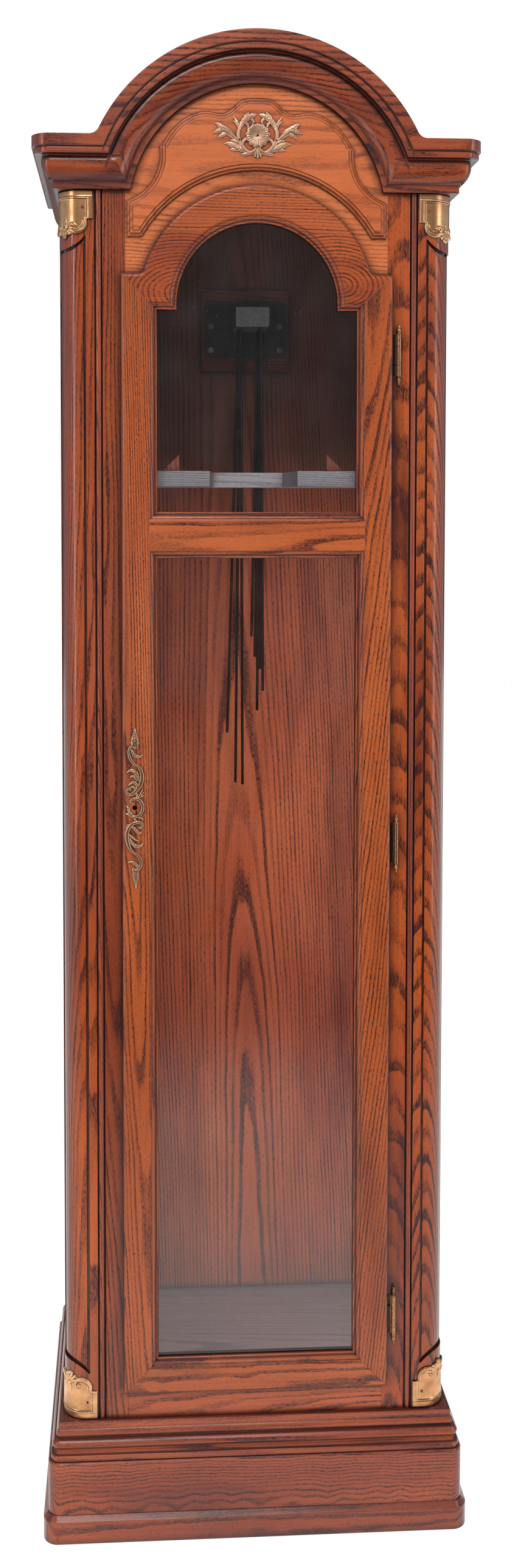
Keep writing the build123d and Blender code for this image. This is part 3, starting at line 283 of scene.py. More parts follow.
def glass(name):
    """Clear sheet glass: see-through, with a reflection that grows at grazing angles, and a little dust."""
    material, g = new_material(name)
    point = g.node("TexCoord").outputs["Object"]
    clear = g.node("BsdfTransparent", {"Color": (0.93, 0.95, 0.95, 1.0)}).outputs[0]
    shine = g.node("BsdfGlossy", {"Color": (1, 1, 1, 1), "Roughness": 0.02}).outputs[0]
    pane = g.node("MixShader", {0: g.node("Fresnel", {"IOR": 1.5}).outputs[0], 1: clear, 2: shine}).outputs[0]
    cells = g.node("TexVoronoi", {"Vector": point, "Scale": 170.0})
    chosen = g.remap(g.node("SeparateXYZ", {0: cells.outputs["Color"]}).outputs[0], 0.7, 0.72)
    grain = g.math("MULTIPLY", g.remap(cells.outputs["Distance"], 0.03, 0.09, 0.5, 0.0), chosen)
    film = g.remap(g.noise(point, 18, detail=6.0), 0.4, 0.75, 0.003, 0.016)
    dust = g.node("BsdfDiffuse", {"Color": srgb(200, 196, 196)}).outputs[0]
    amount = g.math("MAXIMUM", grain, film)
    finish_material(g, g.node("MixShader", {0: amount, 1: pane, 2: dust}).outputs[0])
    return material


def dull(name, first, second, rough=0.5, scale=90.0):
    """A plain painted or moulded surface, with fine mottling."""
    material, g = new_material(name)
    point = g.node("TexCoord").outputs["Object"]
    mottle = g.noise(point, scale, detail=5.0)
    shader = g.node("BsdfPrincipled", {
        "Base Color": g.mix(g.remap(mottle, 0.35, 0.65), first, second),
        "Roughness": g.remap(mottle, 0.3, 0.7, rough - 0.1, rough + 0.1),
        "Normal": softened(g, 0.0004, g.noise(point, scale * 20), 0.15, 0.0001)[1],
    })
    finish_material(g, shader.outputs[0])
    return material


def hinge_leaf_material():
    """Hinge brass that is bright on the knuckles, with the leaves beside them coloured nearly black as painted
    shade.
    """
    material, g = new_material("hinge_leaf_brass")
    point = g.node("TexCoord").outputs["Object"]
    low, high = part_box("hinge_pins")
    from_pin = g.math("SUBTRACT", g.node("SeparateXYZ", {0: point}).outputs[0], (low.x + high.x) / 2)
    leaf = g.remap(g.math("ABSOLUTE", from_pin), 0.0034, 0.0042)
    tarnish = g.remap(g.noise(point, 400, detail=4.0), 0.35, 0.7)
    knuckle = g.mix(tarnish, srgb(206, 150, 108), srgb(140, 92, 66))
    # painted shade: the leaves beside the knuckles are nearly black for the shadow gap they sit in
    dark = g.mix(tarnish, srgb(44, 26, 20), srgb(26, 15, 12))
    shader = g.node("BsdfPrincipled", {
        "Base Color": g.mix(leaf, knuckle, dark), "Metallic": g.remap(leaf, 0, 1, 0.88, 0.3),
        "Roughness": g.remap(tarnish, 0, 1, 0.26, 0.46),
    })
    finish_material(g, shader.outputs[0])
    return material


def rod_material():
    """Blued steel rods whose upper ends, above the block, are bare copper."""
    material, g = new_material("chime_rod_steel")
    point = g.node("TexCoord").outputs["Object"]
    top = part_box("chime_block")[1].z
    tip = g.remap(g.node("SeparateXYZ", {0: point}).outputs[2], top - 0.0002, top + 0.0002)
    brushed = g.noise(point, 300, (1, 1, 0.05), 3.0)
    steel = g.mix(brushed, srgb(96, 92, 94), srgb(150, 146, 148))
    colour = g.mix(tip, steel, srgb(226, 150, 122))
    shader = g.node("BsdfPrincipled", {
        "Base Color": colour, "Metallic": 1.0, "Roughness": g.remap(brushed, 0.3, 0.7, 0.16, 0.34),
    })
    finish_material(g, shader.outputs[0])
    return material


def paint(names, material):
    """Gives one material to each of the nodes in a spaced list."""
    for name in names.split():
        slots = nodes[name].data.materials
        slots.clear()
        slots.append(material)


def finish_cad():
    """Gives every CAD node that stays in view its own finish."""
    def board(names, *grain, **looks):
        paint(names, wood("oak_" + names.split()[0], *grain, **looks))

    board("corner_post_left", "xyz", OAK, heart=(-0.215, 0.0, 0.2), ring=0.0028)
    board("corner_post_right", "xyz", OAK, heart=(0.244, -0.16, -0.1), ring=0.0048, wave=0.002,
          lean=(0.006, 0.12, 0.0), strength=1.25)
    board("post_beads", "xyz", OAK_RED, heart=(0.0, 0.1, 0.0), ring=0.0019)
    board("front_stile_left", "xyz", OAK_BROWN, heart=(-0.19, -0.12, 0.9), ring=0.0034, smudge=0.3)
    board("front_stile_right", "xyz", OAK, heart=(0.192, -0.16, -0.3), ring=0.0046, wave=0.003,
          lean=(0.004, 0.075, 0.0), smudge=0.8)
    board("front_bottom_rail", "zyx", OAK_RED, heart=(0.15, -0.06, 0.0), ring=0.0028)
    board("header_board", "zyx", OAK_PALE, heart=(1.86, -0.03, 0.0), ring=0.0034, strength=0.8, smudge=0.1)
    board("frieze_panel", "zyx", OAK_PALE, heart=(1.84, -0.02, 0.3), ring=0.0055, strength=0.65, smudge=0.1)
    board("crown_front_board", "zyx", OAK_RED, heart=(1.9, -0.06, -0.3), ring=0.0052, strength=1.2,
          smudge=0.7, glaze=0.03)
    board("crown_returns", "zxy", OAK_RED, heart=(1.86, 0.2, 0.0), ring=0.0031, glaze=0.03)
    board("side_panel_left", "yxz", OAK, heart=(0.02, -0.2, 0.6), ring=0.0043)
    board("side_panel_right", "yxz", OAK, heart=(0.03, 0.2, -0.3), ring=0.0043)
    board("rear_stiles", "yxz", OAK, heart=(0.1, 0.0, 0.0), ring=0.0028)
    board("top_board", "yzx", OAK_RED, heart=(0.0, 1.8, 0.0), ring=0.0037, gloss=False)
    board("door_middle_rail", "zyx", OAK_LIGHT, heart=(1.36, -0.11, 0.0), ring=0.0034)
    board("door_bottom_rail", "zyx", OAK_LIGHT, heart=(0.21, -0.12, -0.25), ring=0.0062, wave=0.004,
          smudge=0.5)
    board("door_stile_left", "xyz", OAK_LIGHT, heart=(-0.12, -0.12, -0.4), ring=0.0031)
    board("door_stile_right", "xyz", OAK_LIGHT, heart=(0.10, -0.1, 1.2), ring=0.0042, lean=(-0.11, 0.02, 0.0),
          strength=1.1)
    board("door_arch_rail", "zyx", OAK_LIGHT, heart=(1.72, -0.12, 0.1), ring=0.0036)
    board("door_shoulder_left", "zyx", OAK, heart=(1.69, -0.16, -0.11), ring=0.0044, lean=(0.0, 0.6, 0.0))
    board("door_shoulder_right", "zyx", OAK, heart=(1.70, -0.16, 0.10), ring=0.0048, lean=(0.0, 0.7, 0.0))
    board("base_cap_front", "zyx", OAK_RED, heart=(0.12, -0.08, 0.4), ring=0.0050, smudge=0.35, glaze=0.004)
    board("base_cap_returns", "zxy", OAK_RED, heart=(0.12, 0.2, 0.0), ring=0.0050, glaze=0.006)
    board("plinth_front", "zyx", OAK_RED, heart=(0.02, -0.11, 0.1), ring=0.0031, wave=0.006, smudge=0.6)
    board("plinth_returns", "zxy", OAK_RED, heart=(0.04, 0.2, 0.0), ring=0.0040)
    board("foot_moulding_front", "zyx", OAK_RED, heart=(0.0, -0.12, -0.2), ring=0.0070, wave=0.003)
    board("foot_moulding_returns", "zxy", OAK_RED, heart=(0.02, 0.2, 0.1), ring=0.0070)
    board("back_panel", "xyz", OAK_INSIDE, heart=(0.02, 0.11, 0.4), ring=0.0045, shade_above=1.44)
    # painted shade: a darker oak for the chime board, for the shade in the upper part of the case
    shaded = dict(light=srgb(120, 56, 44), mid=srgb(92, 42, 34), dark=srgb(44, 20, 18))
    board("chime_board", "zyx", shaded, heart=(1.7, 0.1, 0.0), ring=0.0031, gloss=False)
    wedge_tone = dict(light=srgb(214, 120, 100), mid=srgb(190, 92, 76), dark=srgb(120, 50, 40))
    board("seat_board_wedges", "xyz", wedge_tone, ring=0.0025, gloss=False)
    board("corner_blocks seat_board_cleats", "xzy", PLAIN, ring=0.0031, gloss=False)
    grey = dict(light=srgb(236, 226, 232), mid=srgb(214, 204, 212), dark=srgb(160, 148, 156))
    board("seat_board", "zyx", grey, heart=(1.42, -0.1, 0.0), ring=0.0031, smudge=0.1, gloss=False)
    # a pale grey-pink tone for the floor of the case
    grey_pink_tone = dict(light=srgb(190, 164, 166), mid=srgb(170, 142, 146), dark=srgb(128, 100, 106))
    board("base_floor_board", "yzx", grey_pink_tone, heart=(0.0, 0.1, 0.0), ring=0.0037, smudge=0.1, gloss=False)
    paint("glass_upper glass_lower", glass("clear_glass"))
    hinge = metal("hinge_brass", srgb(206, 150, 108), srgb(140, 92, 66), srgb(44, 26, 20), (0.28, 0.5))
    paint("hinge_pins hinge_case_screws hinge_door_screws", hinge)
    paint("hinge_case_leaves hinge_door_leaves", hinge_leaf_material())
    paint("mount_pins", metal("pin_brass", srgb(150, 104, 66), srgb(96, 62, 40), srgb(34, 20, 14)))
    bright = metal("steel", srgb(190, 190, 192), srgb(140, 140, 144), srgb(60, 58, 58), (0.25, 0.5))
    paint("lock_body lock_cam leveler_t_nuts chime_screws", bright)
    paint("leveler_front_left leveler_front_right leveler_rear_left leveler_rear_right", bright)
    paint("chime_plate", dull("black_iron", srgb(30, 27, 29), srgb(48, 42, 44), 0.45))
    paint("chime_block", dull("grey_iron", srgb(128, 124, 128), srgb(158, 153, 156), 0.5, 260.0))
    paint("chime_rods", rod_material())
    paint("glass_retainers", dull("retainer_plastic", srgb(60, 40, 34), srgb(78, 54, 46), 0.5))


# ---------------------------------------------------------------- cast ornaments
def smooth_path(points, per_span=7):
    """A smooth path through points whose columns are x, z, half width and height."""
    p = np.array(points, float)
    p = np.vstack([2 * p[0] - p[1], p, 2 * p[-1] - p[-2]])
    t = np.linspace(0, 1, per_span, endpoint=False)[:, None]
    spans = []
    for a, b, c, d in zip(p, p[1:], p[2:], p[3:]):
        slope, curve, twist = c - a, 2 * a - 5 * b + 4 * c - d, 3 * b - a - 3 * c + d
        spans.append(b + slope * t / 2 + curve * t**2 / 2 + twist * t**3 / 2)
    return np.vstack([*spans, p[-2:-1]])


class Relief:
    """A cast ornament on a grid, in mm: how far inside its outline each point is, and how high it stands."""

    def __init__(self, x_range, z_range, step):
        xs = np.arange(x_range[0], x_range[1] + step, step)
        zs = np.arange(z_range[0], z_range[1] + step, step)
        self.x, self.z = np.meshgrid(xs, zs)
        self.step = step
        self.inside = np.full(self.x.shape, -100.0)
        self.height = np.zeros(self.x.shape)

    def add(self, inside, height):
        """Joins a shape to the outline, and keeps the higher surface where it overlaps others."""
        self.inside = np.maximum(self.inside, inside)
        self.height = np.maximum(self.height, np.where(inside > -self.step, height, 0))

    def cut(self, outside):
        """Takes away the points where outside is below zero."""
        self.inside = np.minimum(self.inside, outside)

    def stroke(self, points, teeth=0.0, ribs=0.0, groove=0.0, pitch=2.6):
        """A rounded band along a smooth path, with a toothed edge, slanting ribs or a middle groove."""
        path = smooth_path(points)
        run = 0.0
        for a, b in zip(path, path[1:]):
            dx, dz = b[0] - a[0], b[1] - a[1]
            length = math.hypot(dx, dz)
            if length < 1e-6:
                continue
            t = np.clip(((self.x - a[0]) * dx + (self.z - a[1]) * dz) / length**2, 0, 1)
            away = np.hypot(self.x - a[0] - t * dx, self.z - a[1] - t * dz)
            along = run + t * length
            width = np.maximum(a[2] + t * (b[2] - a[2]), 0.25)
            width = width * (1 - teeth * (along / pitch - np.floor(along / pitch)))
            share = np.clip(away / width, 0, 1)
            high = (a[3] + t * (b[3] - a[3])) * np.sqrt(1 - 0.92 * share**2)
            high = high * (1 - ribs * (0.5 + 0.5 * np.cos(2 * np.pi * (along - 0.9 * away) / pitch)))
            high = high - groove * np.exp(-((away / 0.5) ** 2))
            self.add(width - away, high)
            run += length

    def bead(self, x, z, radius, height):
        """A round dome."""
        away = np.hypot(self.x - x, self.z - z)
        self.add(radius - away, height * np.sqrt(np.clip(1 - (away / radius) ** 2, 0.05, 1)))

    def mesh(self, name, place, base):
        """A closed mesh: place turns x, z and height into metres, and base is the outline's thickness."""
        step = self.step
        gz, gx = np.gradient(self.inside, step)
        slope = np.maximum(gx**2 + gz**2, 0.2)
        cells = np.minimum(
            np.minimum(self.inside[:-1, :-1], self.inside[1:, 1:]),
            np.minimum(self.inside[:-1, 1:], self.inside[1:, :-1]),
        ) > -0.6 * step
        for repeat in range(3):          # fill where two cells meet only at a corner
            a, b, c, d = cells[:-1, :-1], cells[:-1, 1:], cells[1:, :-1], cells[1:, 1:]
            b |= a & d & ~b & ~c
            a |= b & c & ~a & ~d
        padded = np.pad(cells, 1)
        touching = padded[:-1, :-1].astype(int) + padded[1:, 1:] + padded[:-1, 1:] + padded[1:, :-1]
        used = touching > 0
        rim = used & (touching < 4)
        shift = np.where(rim, np.clip(self.inside, -step, step) / slope, 0)
        x = self.x - np.clip(shift * gx, -0.7 * step, 0.7 * step)
        z = self.z - np.clip(shift * gz, -0.7 * step, 0.7 * step)
        high = np.where(rim, base, base + self.height)
        number = np.cumsum(used).reshape(used.shape) - 1
        count = int(used.sum())
        front = place(x[used], z[used], high[used])
        back = place(x[used], z[used], np.zeros(count))
        verts = np.vstack([front, back])
        r, c = np.nonzero(cells)
        quad = np.stack([number[r, c], number[r, c + 1], number[r + 1, c + 1], number[r + 1, c]], 1)
        faces = [quad, quad[:, ::-1] + count]
        sides = (
            (cells & ~padded[:-2, 1:-1], (0, 1), (0, 0)), (cells & ~padded[2:, 1:-1], (1, 0), (1, 1)),
            (cells & ~padded[1:-1, :-2], (0, 0), (1, 0)), (cells & ~padded[1:-1, 2:], (1, 1), (0, 1)),
        )
        for mask, first, second in sides:
            r, c = np.nonzero(mask)
            a = number[r + first[0], c + first[1]]
            b = number[r + second[0], c + second[1]]
            faces.append(np.stack([a, b, b + count, a + count], 1))
        data = bpy.data.meshes.new(name)
        data.from_pydata(verts.tolist(), [], np.vstack(faces).tolist())
        data.validate()
        data.shade_smooth()
        data.set_sharp_from_angle(angle=math.radians(55))
        made = bpy.data.objects.new(name, data)
        bpy.context.scene.collection.objects.link(made)
        return made


def both_sides(points):
    """A stroke's points and their mirror image."""
    return points, [(-x, *rest) for x, *rest in points]


def crest():
    """The frieze ornament: a shell flower between pairs of leaves."""
    relief = Relief((-62, 62), (-31, 32), 0.42)
    leafy = dict(teeth=0.3, ribs=0.22, groove=0.5, pitch=3.4)
    stem = dict(groove=0.3)
    plain = {}
    strokes = (
        # ring of stem from the foot, out and up, and back to the shell
        ([(4, -23, 2.6, 1.6), (13, -21.5, 2.8, 2.0), (20.5, -14, 2.7, 2.2), (25, -5, 2.6, 2.4),
          (25.6, 5, 2.5, 2.4), (22.5, 13, 2.4, 2.2), (17.5, 17.4, 2.2, 2.0), (13.5, 14, 1.7, 1.8)], stem),
        ([(13.2, 15, 1.6, 1.6), (12.4, 9.5, 1.5, 1.6), (12.6, 4, 1.4, 1.4)], plain),
        # upper leaf, with an inner and an outer lobe
        ([(24, 9, 2.6, 1.8), (19.5, 18, 4.2, 2.3), (12, 24, 4.4, 2.3), (6, 26.6, 3.0, 1.8),
          (1.8, 27.8, 0.6, 0.9)], leafy),
        ([(21, 15, 2.4, 1.6), (17, 23.4, 3.0, 2.0), (11.6, 30.2, 0.6, 1.0)], leafy),
        ([(8.5, 22, 2.2, 1.4), (5.4, 18.6, 1.8, 1.4), (6.6, 14.6, 1.2, 1.2)], dict(teeth=0.3, pitch=2.0)),
        ([(24.4, 8, 2.0, 1.6), (27, 16, 2.6, 1.8), (29, 20, 1.6, 1.4), (31.8, 24.2, 0.5, 0.8)], leafy),
        ([(27, 15, 1.8, 1.4), (30.6, 17.6, 1.0, 1.0), (33.4, 18.6, 0.4, 0.7)], plain),
        # outer leaf: a scalloped blade with a rib and a bulb, and its lower lobe
        ([(24, -8, 2.2, 1.6), (32, -2, 3.6, 1.8), (40, 5.6, 4.8, 2.0), (47, 10.2, 4.6, 1.9),
          (52.4, 14.4, 2.4, 1.4), (56.4, 15.4, 0.6, 0.8)], dict(teeth=0.26, ribs=0.25, pitch=3.0)),
        ([(44, 7, 4.0, 1.6), (51, 6.2, 3.4, 1.6), (56, 4.4, 2.0, 1.3), (60, 2.6, 0.5, 0.8)], leafy),
        ([(42, 2.6, 3.2, 1.5), (48, -0.4, 2.8, 1.5), (52.4, -3.4, 0.6, 0.8)], leafy),
        ([(26, -6, 1.3, 2.6), (34, 0.8, 1.3, 2.9), (41, 6.2, 1.3, 3.0), (46.4, 7.6, 1.8, 3.2)], plain),
        # lower leaf, with two lobes along its underside
        ([(14, -21.4, 2.6, 1.6), (24, -17, 4.2, 1.9), (33, -12.4, 4.4, 1.9), (39, -10.6, 2.4, 1.4),
          (44.4, -10.8, 0.6, 0.8)], leafy),
        ([(26, -18, 2.8, 1.5), (32, -18.4, 2.4, 1.4), (36.6, -18.8, 0.6, 0.8)], leafy),
        ([(22, -12, 1.8, 1.6), (30, -7.6, 2.4, 1.6), (36, -6, 0.6, 0.8)], stem),
        # links from the shell, the foot's fan, and the flat toes beside it
        ([(15, -4, 2.0, 1.6), (19.5, -8, 2.0, 1.8), (21, -13, 2.0, 1.8)], stem),
        ([(2, -16, 1.6, 2.0), (4.6, -20, 2.0, 2.2), (9.4, -22.4, 2.4, 2.0), (16, -24.4, 2.6, 1.7),
          (20.6, -24.6, 1.0, 1.0)], stem),
        ([(0.6, -18, 1.2, 2.2), (2.6, -23, 1.7, 2.4), (3.6, -27, 1.6, 2.2)], plain),
    )
    for points, looks in strokes:
        for side in both_sides(points):
            relief.stroke(side, **looks)
    relief.stroke([(0, -17, 1.4, 2.4), (0, -23, 1.9, 2.8), (0, -28.4, 1.7, 2.4)])
    for x in (-46, 46):
        relief.bead(x, 7.6, 2.4, 3.4)
    away = np.hypot(relief.x, relief.z)
    turn = np.arctan2(relief.x, relief.z)
    lobes = np.abs(np.cos(6.5 * turn))
    rim = 14.8 + 1.5 * lobes
    shell = 1.7 + 1.1 * np.clip(away / 12, 0, 1) - 0.9 * np.clip((away - 12.5) / 3.5, 0, 1) ** 2
    shell += 0.28 * np.cos(26 * turn) * np.clip(away / 9, 0, 1) + 0.35 * lobes * np.clip((away - 8) / 5, 0, 1)
    relief.add(rim - away, shell)
    relief.height -= 2.2 * np.exp(-((away / 1.3) ** 2))
    centre = sum(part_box("crest_ornament")[i].z for i in (0, 1)) / 2 + 0.4 * MM

    def place(x, z, high):
        return np.stack([x * MM, FRIEZE_FACE - high * MM, centre + z * MM], 1)

    return relief.mesh("crest_casting", place, 0.9)


def corner_mount(name, low, flip):
    """A corner mount, worked flat in mm, the same each side of its middle, and then bent round the post."""
    half, tall, radius = 38.7, 64.0, 30.0
    relief = Relief((-half, half), (-tall, 0), 0.55)
    t, z = np.abs(relief.x), relief.z
    edge_t = [0, 6, 10.3, 18.7, 25.2, 28.4, 28.6, half]
    edge_z = [-60, -58, -57, -56, -51.5, -45, -38.2, -38.2]
    lower_edge = np.interp(t, edge_t, edge_z)
    plate = np.minimum(np.minimum(z - lower_edge, half - t), -z)
    relief.add(plate + 0.01, np.full(z.shape, 0.1))

    def ridge(distance, width, high):
        relief.height = np.maximum(relief.height, high * np.sqrt(np.clip(1 - (distance / width) ** 2, 0, 1)))

    upper = z > -39
    relief.height = np.where(z > -7.6, 0.9, relief.height)
    ridge(z + 8.4, 1.0, 1.3)
    ridge(z + 10.8, 0.7, 0.8)
    ridge(np.where(upper & (z < -7.6), half - 3.4 - t, 9), 3.4, 1.3)
    ridge(np.where(upper & (z < -9), half - 8.6 - t, 9), 0.7, 0.7)
    ridge(np.where((t > 27.5) & (t < half), z + 37.2, 9), 1.0, 0.9)
    for side in both_sides([(29.4, -39.2, 1.6, 1.0), (29.0, -46.0, 2.4, 1.6), (24.6, -52.0, 2.9, 2.0),
                            (17.5, -54.6, 3.0, 2.1), (10.6, -52.6, 2.6, 2.1), (8.2, -47.4, 2.1, 2.0),
                            (11.6, -43.8, 1.7, 1.9), (15.0, -46.2, 1.2, 1.7)]):
        relief.stroke(side, groove=0.5)
    for side in both_sides([(25.4, -41.5, 0.6, 0.8), (24.6, -46.0, 0.7, 0.9), (20.4, -49.6, 0.7, 0.9)]):
        relief.stroke(side)
    for x in (-12.4, 12.4):
        relief.bead(x, -46.9, 1.6, 2.5)
    for angle in (-64, -38, -13, 13, 38, 64):
        dx, dz = math.sin(math.radians(angle)), -math.cos(math.radians(angle))
        reach = 13.0 - 2.2 * abs(angle) / 64
        rib = ((1.5, 0.8, 1.6), (reach * 0.6, 1.9, 2.2), (reach, 1.5, 2.0))
        relief.stroke([(r * dx, -49 + r * dz, width, high) for r, width, high in rib], groove=0.5)
    relief.bead(0, -48.5, 2.6, 3.0)
    relief.bead(0, -61.4, 2.5, 2.4)
    relief.stroke([(0, -46, 1.6, 1.6), (0, -41, 2.2, 1.6), (0, -35, 0.5, 0.6)], groove=0.5)
    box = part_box(name)
    side_sign = 1 if box[0].x > 0 else -1
    pin_t, pin_z, pin_r = half - 13.9, -22.5, 0.9
    relief.cut(np.hypot(t - pin_t, z - pin_z) - pin_r)
    flat = half - radius * math.pi / 4        # plain length before the bend, on each side
    thick = 1.8                               # of the plate, on the post's side face
    corner_x = abs(box[0].x if side_sign < 0 else box[1].x) - (thick + radius) * MM
    corner_y = CASE_FACE + radius * MM

    def place(x, z, high):
        s = x + half                          # 0 at the inner edge on the front, growing round the corner
        angle = np.clip((s - flat) / radius, 0, math.pi / 2)
        before = np.minimum(s - flat, 0)
        after = np.maximum(s - flat - radius * math.pi / 2, 0)
        reach = (radius + high) * MM
        px = corner_x + reach * np.sin(angle) + before * MM
        py = corner_y - reach * np.cos(angle) + after * MM
        pz = low + (-z if flip else tall + z) * MM
        return np.stack([side_sign * px, py, pz], 1)

    return relief.mesh(name.replace("mount", "casting"), place, 1.0)


def escutcheon():
    """The long scrolled plate round the keyhole. Points are x, z, half width and height, from the keyhole."""
    relief = Relief((-15, 15), (-112, 108), 0.4)
    scrolls = (
        # the curl and stem under the top bud
        [(0.4, 80.4, 0.9, 1.6), (3.2, 80.6, 1.2, 1.8), (2.8, 84, 1.5, 1.9), (-2, 84.6, 1.7, 2.0),
         (-6.4, 81, 1.8, 2.0), (-8, 74.6, 2.0, 2.0), (-6.6, 68, 2.1, 2.1), (-3, 61.6, 2.0, 2.0),
         (1, 57.6, 1.6, 1.6)],
        # the upper C
        [(-2, 58.6, 1.2, 1.4), (3, 57, 1.9, 1.9), (7.6, 51.4, 2.4, 2.2), (9.6, 44, 2.9, 2.3),
         (9, 36, 3.1, 2.3), (5.6, 28, 3.0, 2.3), (0.6, 22, 2.6, 2.2), (-5, 18.2, 2.3, 2.1),
         (-9.6, 19, 2.0, 2.0), (-10.6, 23.4, 1.8, 2.0), (-7.6, 25.6, 1.4, 1.8), (-5.2, 23.6, 0.9, 1.6)],
        # the lower C
        [(4.8, -26.4, 0.9, 1.6), (8, -27, 1.4, 1.8), (10, -23.4, 1.9, 2.0), (7.4, -20.2, 2.1, 2.1),
         (2, -19.8, 2.3, 2.2), (-4, -22, 2.6, 2.3), (-8.6, -28, 2.9, 2.3), (-10.6, -36, 3.0, 2.3),
         (-10, -45, 2.8, 2.3), (-7.4, -53, 2.4, 2.1), (-4, -58.6, 1.9, 1.8), (-0.6, -62, 1.4, 1.5)],
        # the stem and curl over the bottom bud
        [(-2.6, -60.4, 1.3, 1.5), (3.2, -64, 2.0, 2.0), (7.2, -69.6, 2.4, 2.2), (8, -76, 2.4, 2.2),
         (5.4, -82.2, 2.2, 2.1), (1, -86, 1.9, 2.0), (-2.6, -84.2, 1.5, 1.8), (-1.4, -81, 0.9, 1.6)],
        # the open ring round the keyhole
        [(-3, 5.6, 0.9, 1.5), (-5.6, 9, 1.5, 1.9), (-1.4, 12.4, 2.1, 2.2), (4.6, 11.4, 2.3, 2.3),
         (9, 6.8, 2.5, 2.3), (10.4, 0, 2.5, 2.3), (8.6, -7, 2.3, 2.2), (3.6, -11.4, 2.2, 2.1),
         (-3, -12, 1.9, 1.9)],
    )
    leaves = (
        [(-4, 78, 1.4, 1.6), (-1.8, 72.6, 2.7, 2.0), (2.2, 69.6, 2.7, 1.9), (6.6, 69.2, 1.9, 1.6),
         (10, 71.6, 0.5, 0.9)],
        [(5, 38, 2.4, 2.0), (2.6, 45.6, 2.9, 2.1), (-1.8, 50.2, 2.7, 2.0), (-6.8, 50.6, 1.9, 1.7),
         (-11, 47.2, 0.6, 1.0)],
        [(3, 38, 2.0, 1.8), (-0.6, 42, 2.0, 1.8), (-3.8, 43, 1.5, 1.5), (-6.4, 41, 0.5, 0.9)],
        [(4, 25, 2.3, 2.0), (2.6, 31.2, 2.7, 2.1), (-1, 34.4, 2.5, 2.0), (-5.2, 33.6, 1.7, 1.6),
         (-8.6, 30, 0.6, 0.9)],
        [(1, 24, 1.8, 1.8), (-1.4, 28, 1.8, 1.7), (-4.2, 28.4, 1.3, 1.4), (-6.2, 26.6, 0.5, 0.9)],
        [(-4, -25, 2.0, 1.9), (0.6, -29, 2.5, 2.1), (3.6, -33, 2.3, 1.9), (7, -34.6, 1.5, 1.5),
         (9, -32, 0.5, 0.9)],
        [(-7, -37, 1.7, 1.7), (-2.4, -40.4, 1.9, 1.8), (1.2, -43.6, 1.5, 1.5), (4.8, -44.2, 0.5, 0.9)],
        [(-7, -42, 2.0, 1.9), (-3, -48.4, 2.7, 2.1), (2, -52, 2.8, 2.1), (7.4, -51.6, 1.9, 1.7),
         (11.4, -47, 0.6, 0.9)],
        [(4, -82, 1.9, 1.8), (2.4, -77.8, 2.4, 2.0), (-1.4, -74.2, 2.4, 1.9), (-6, -72.6, 1.6, 1.5),
         (-9.8, -74, 0.5, 0.9)],
        # round the ring
        [(-4.4, -9, 2.0, 1.9), (-7.8, -4.6, 2.2, 1.9), (-8.6, 0, 1.7, 1.6), (-11.6, 3.4, 0.6, 0.9)],
        [(-5, -10.6, 2.0, 1.8), (-8.8, -8.4, 1.8, 1.6), (-12.2, -7.4, 0.6, 0.9)],
        [(2, -12, 1.8, 1.8), (7.4, -13, 1.8, 1.6), (11.4, -16, 0.6, 0.9)],
        [(-2, -11, 1.6, 1.7), (0.4, -15.6, 1.8, 1.8), (2, -20, 1.6, 1.6)],
        [(3, 11, 1.6, 1.7), (3, 16, 1.7, 1.8), (1, 21, 1.6, 1.6)],
        [(-6, -24, 1.4, 1.4), (-9, -23, 1.2, 1.2), (-12.4, -27, 0.5, 0.9)],
    )
    buds = (
        [(0.4, 106.4, 0.7, 1.0), (0.2, 100, 2.8, 1.8), (0, 93, 5.0, 2.2), (0, 88, 5.8, 2.3),
         (0.2, 83.6, 4.0, 2.1)],
        [(0.8, -86, 4.2, 2.1), (1, -92, 4.8, 2.3), (1, -98, 3.2, 2.1), (1.2, -103.6, 1.9, 1.7),
         (1.2, -108.6, 0.7, 1.0)],
    )
    for points in scrolls:
        relief.stroke(points, groove=0.8)
    for points in leaves:
        relief.stroke(points, teeth=0.3, ribs=0.3, pitch=3.2)
    for points in buds:
        relief.stroke(points, teeth=0.2, ribs=0.7, pitch=3.6)
    for end_x, end_z in ((10.4, 25), (12.2, 21), (12.2, 17)):
        relief.stroke([(5, 14, 1.2, 1.6), (end_x, end_z, 0.7, 1.2)])
    opening = 4.6                             # radius of the hole round the keyhole
    relief.cut(np.hypot(relief.x, relief.z) - opening)
    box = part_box("escutcheon")
    centre_x = (box[0].x + box[1].x) / 2
    centre_z = (box[0].z + box[1].z) / 2

    def place(x, z, high):
        return np.stack([centre_x + x * MM, DOOR_FACE - high * MM, centre_z + z * MM], 1)

    return relief.mesh("escutcheon_casting", place, 0.8)


def cast_ornaments():
    """Puts a modelled casting in place of each plain brass plate."""
    cast = metal("aged_brass", srgb(236, 176, 124), srgb(190, 132, 90), srgb(48, 27, 20), (0.24, 0.4),
                 45.0, 0.003, carved=True)
    pale = metal("bronze_crest", srgb(240, 192, 160), srgb(204, 150, 122), srgb(72, 38, 30), (0.34, 0.5),
                 60.0, 0.003, carved=True)
    plate = metal("bronze_plate", srgb(212, 162, 126), srgb(160, 112, 86), srgb(44, 24, 18), (0.26, 0.42),
                  60.0, 0.003, carved=True)
    pieces = [(crest(), "case", "crest_ornament", pale), (escutcheon(), "door", "escutcheon", plate)]
    for level in ("top", "bottom"):
        for side in ("left", "right"):
            node = f"corner_mount_{level}_{side}"
            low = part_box(node)[0].z
            pieces.append((corner_mount(node, low, level == "bottom"), "case", node, cast))
    for piece, body, node, material in pieces:
        piece.data.materials.append(material)
        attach(piece, body)
        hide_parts(node)


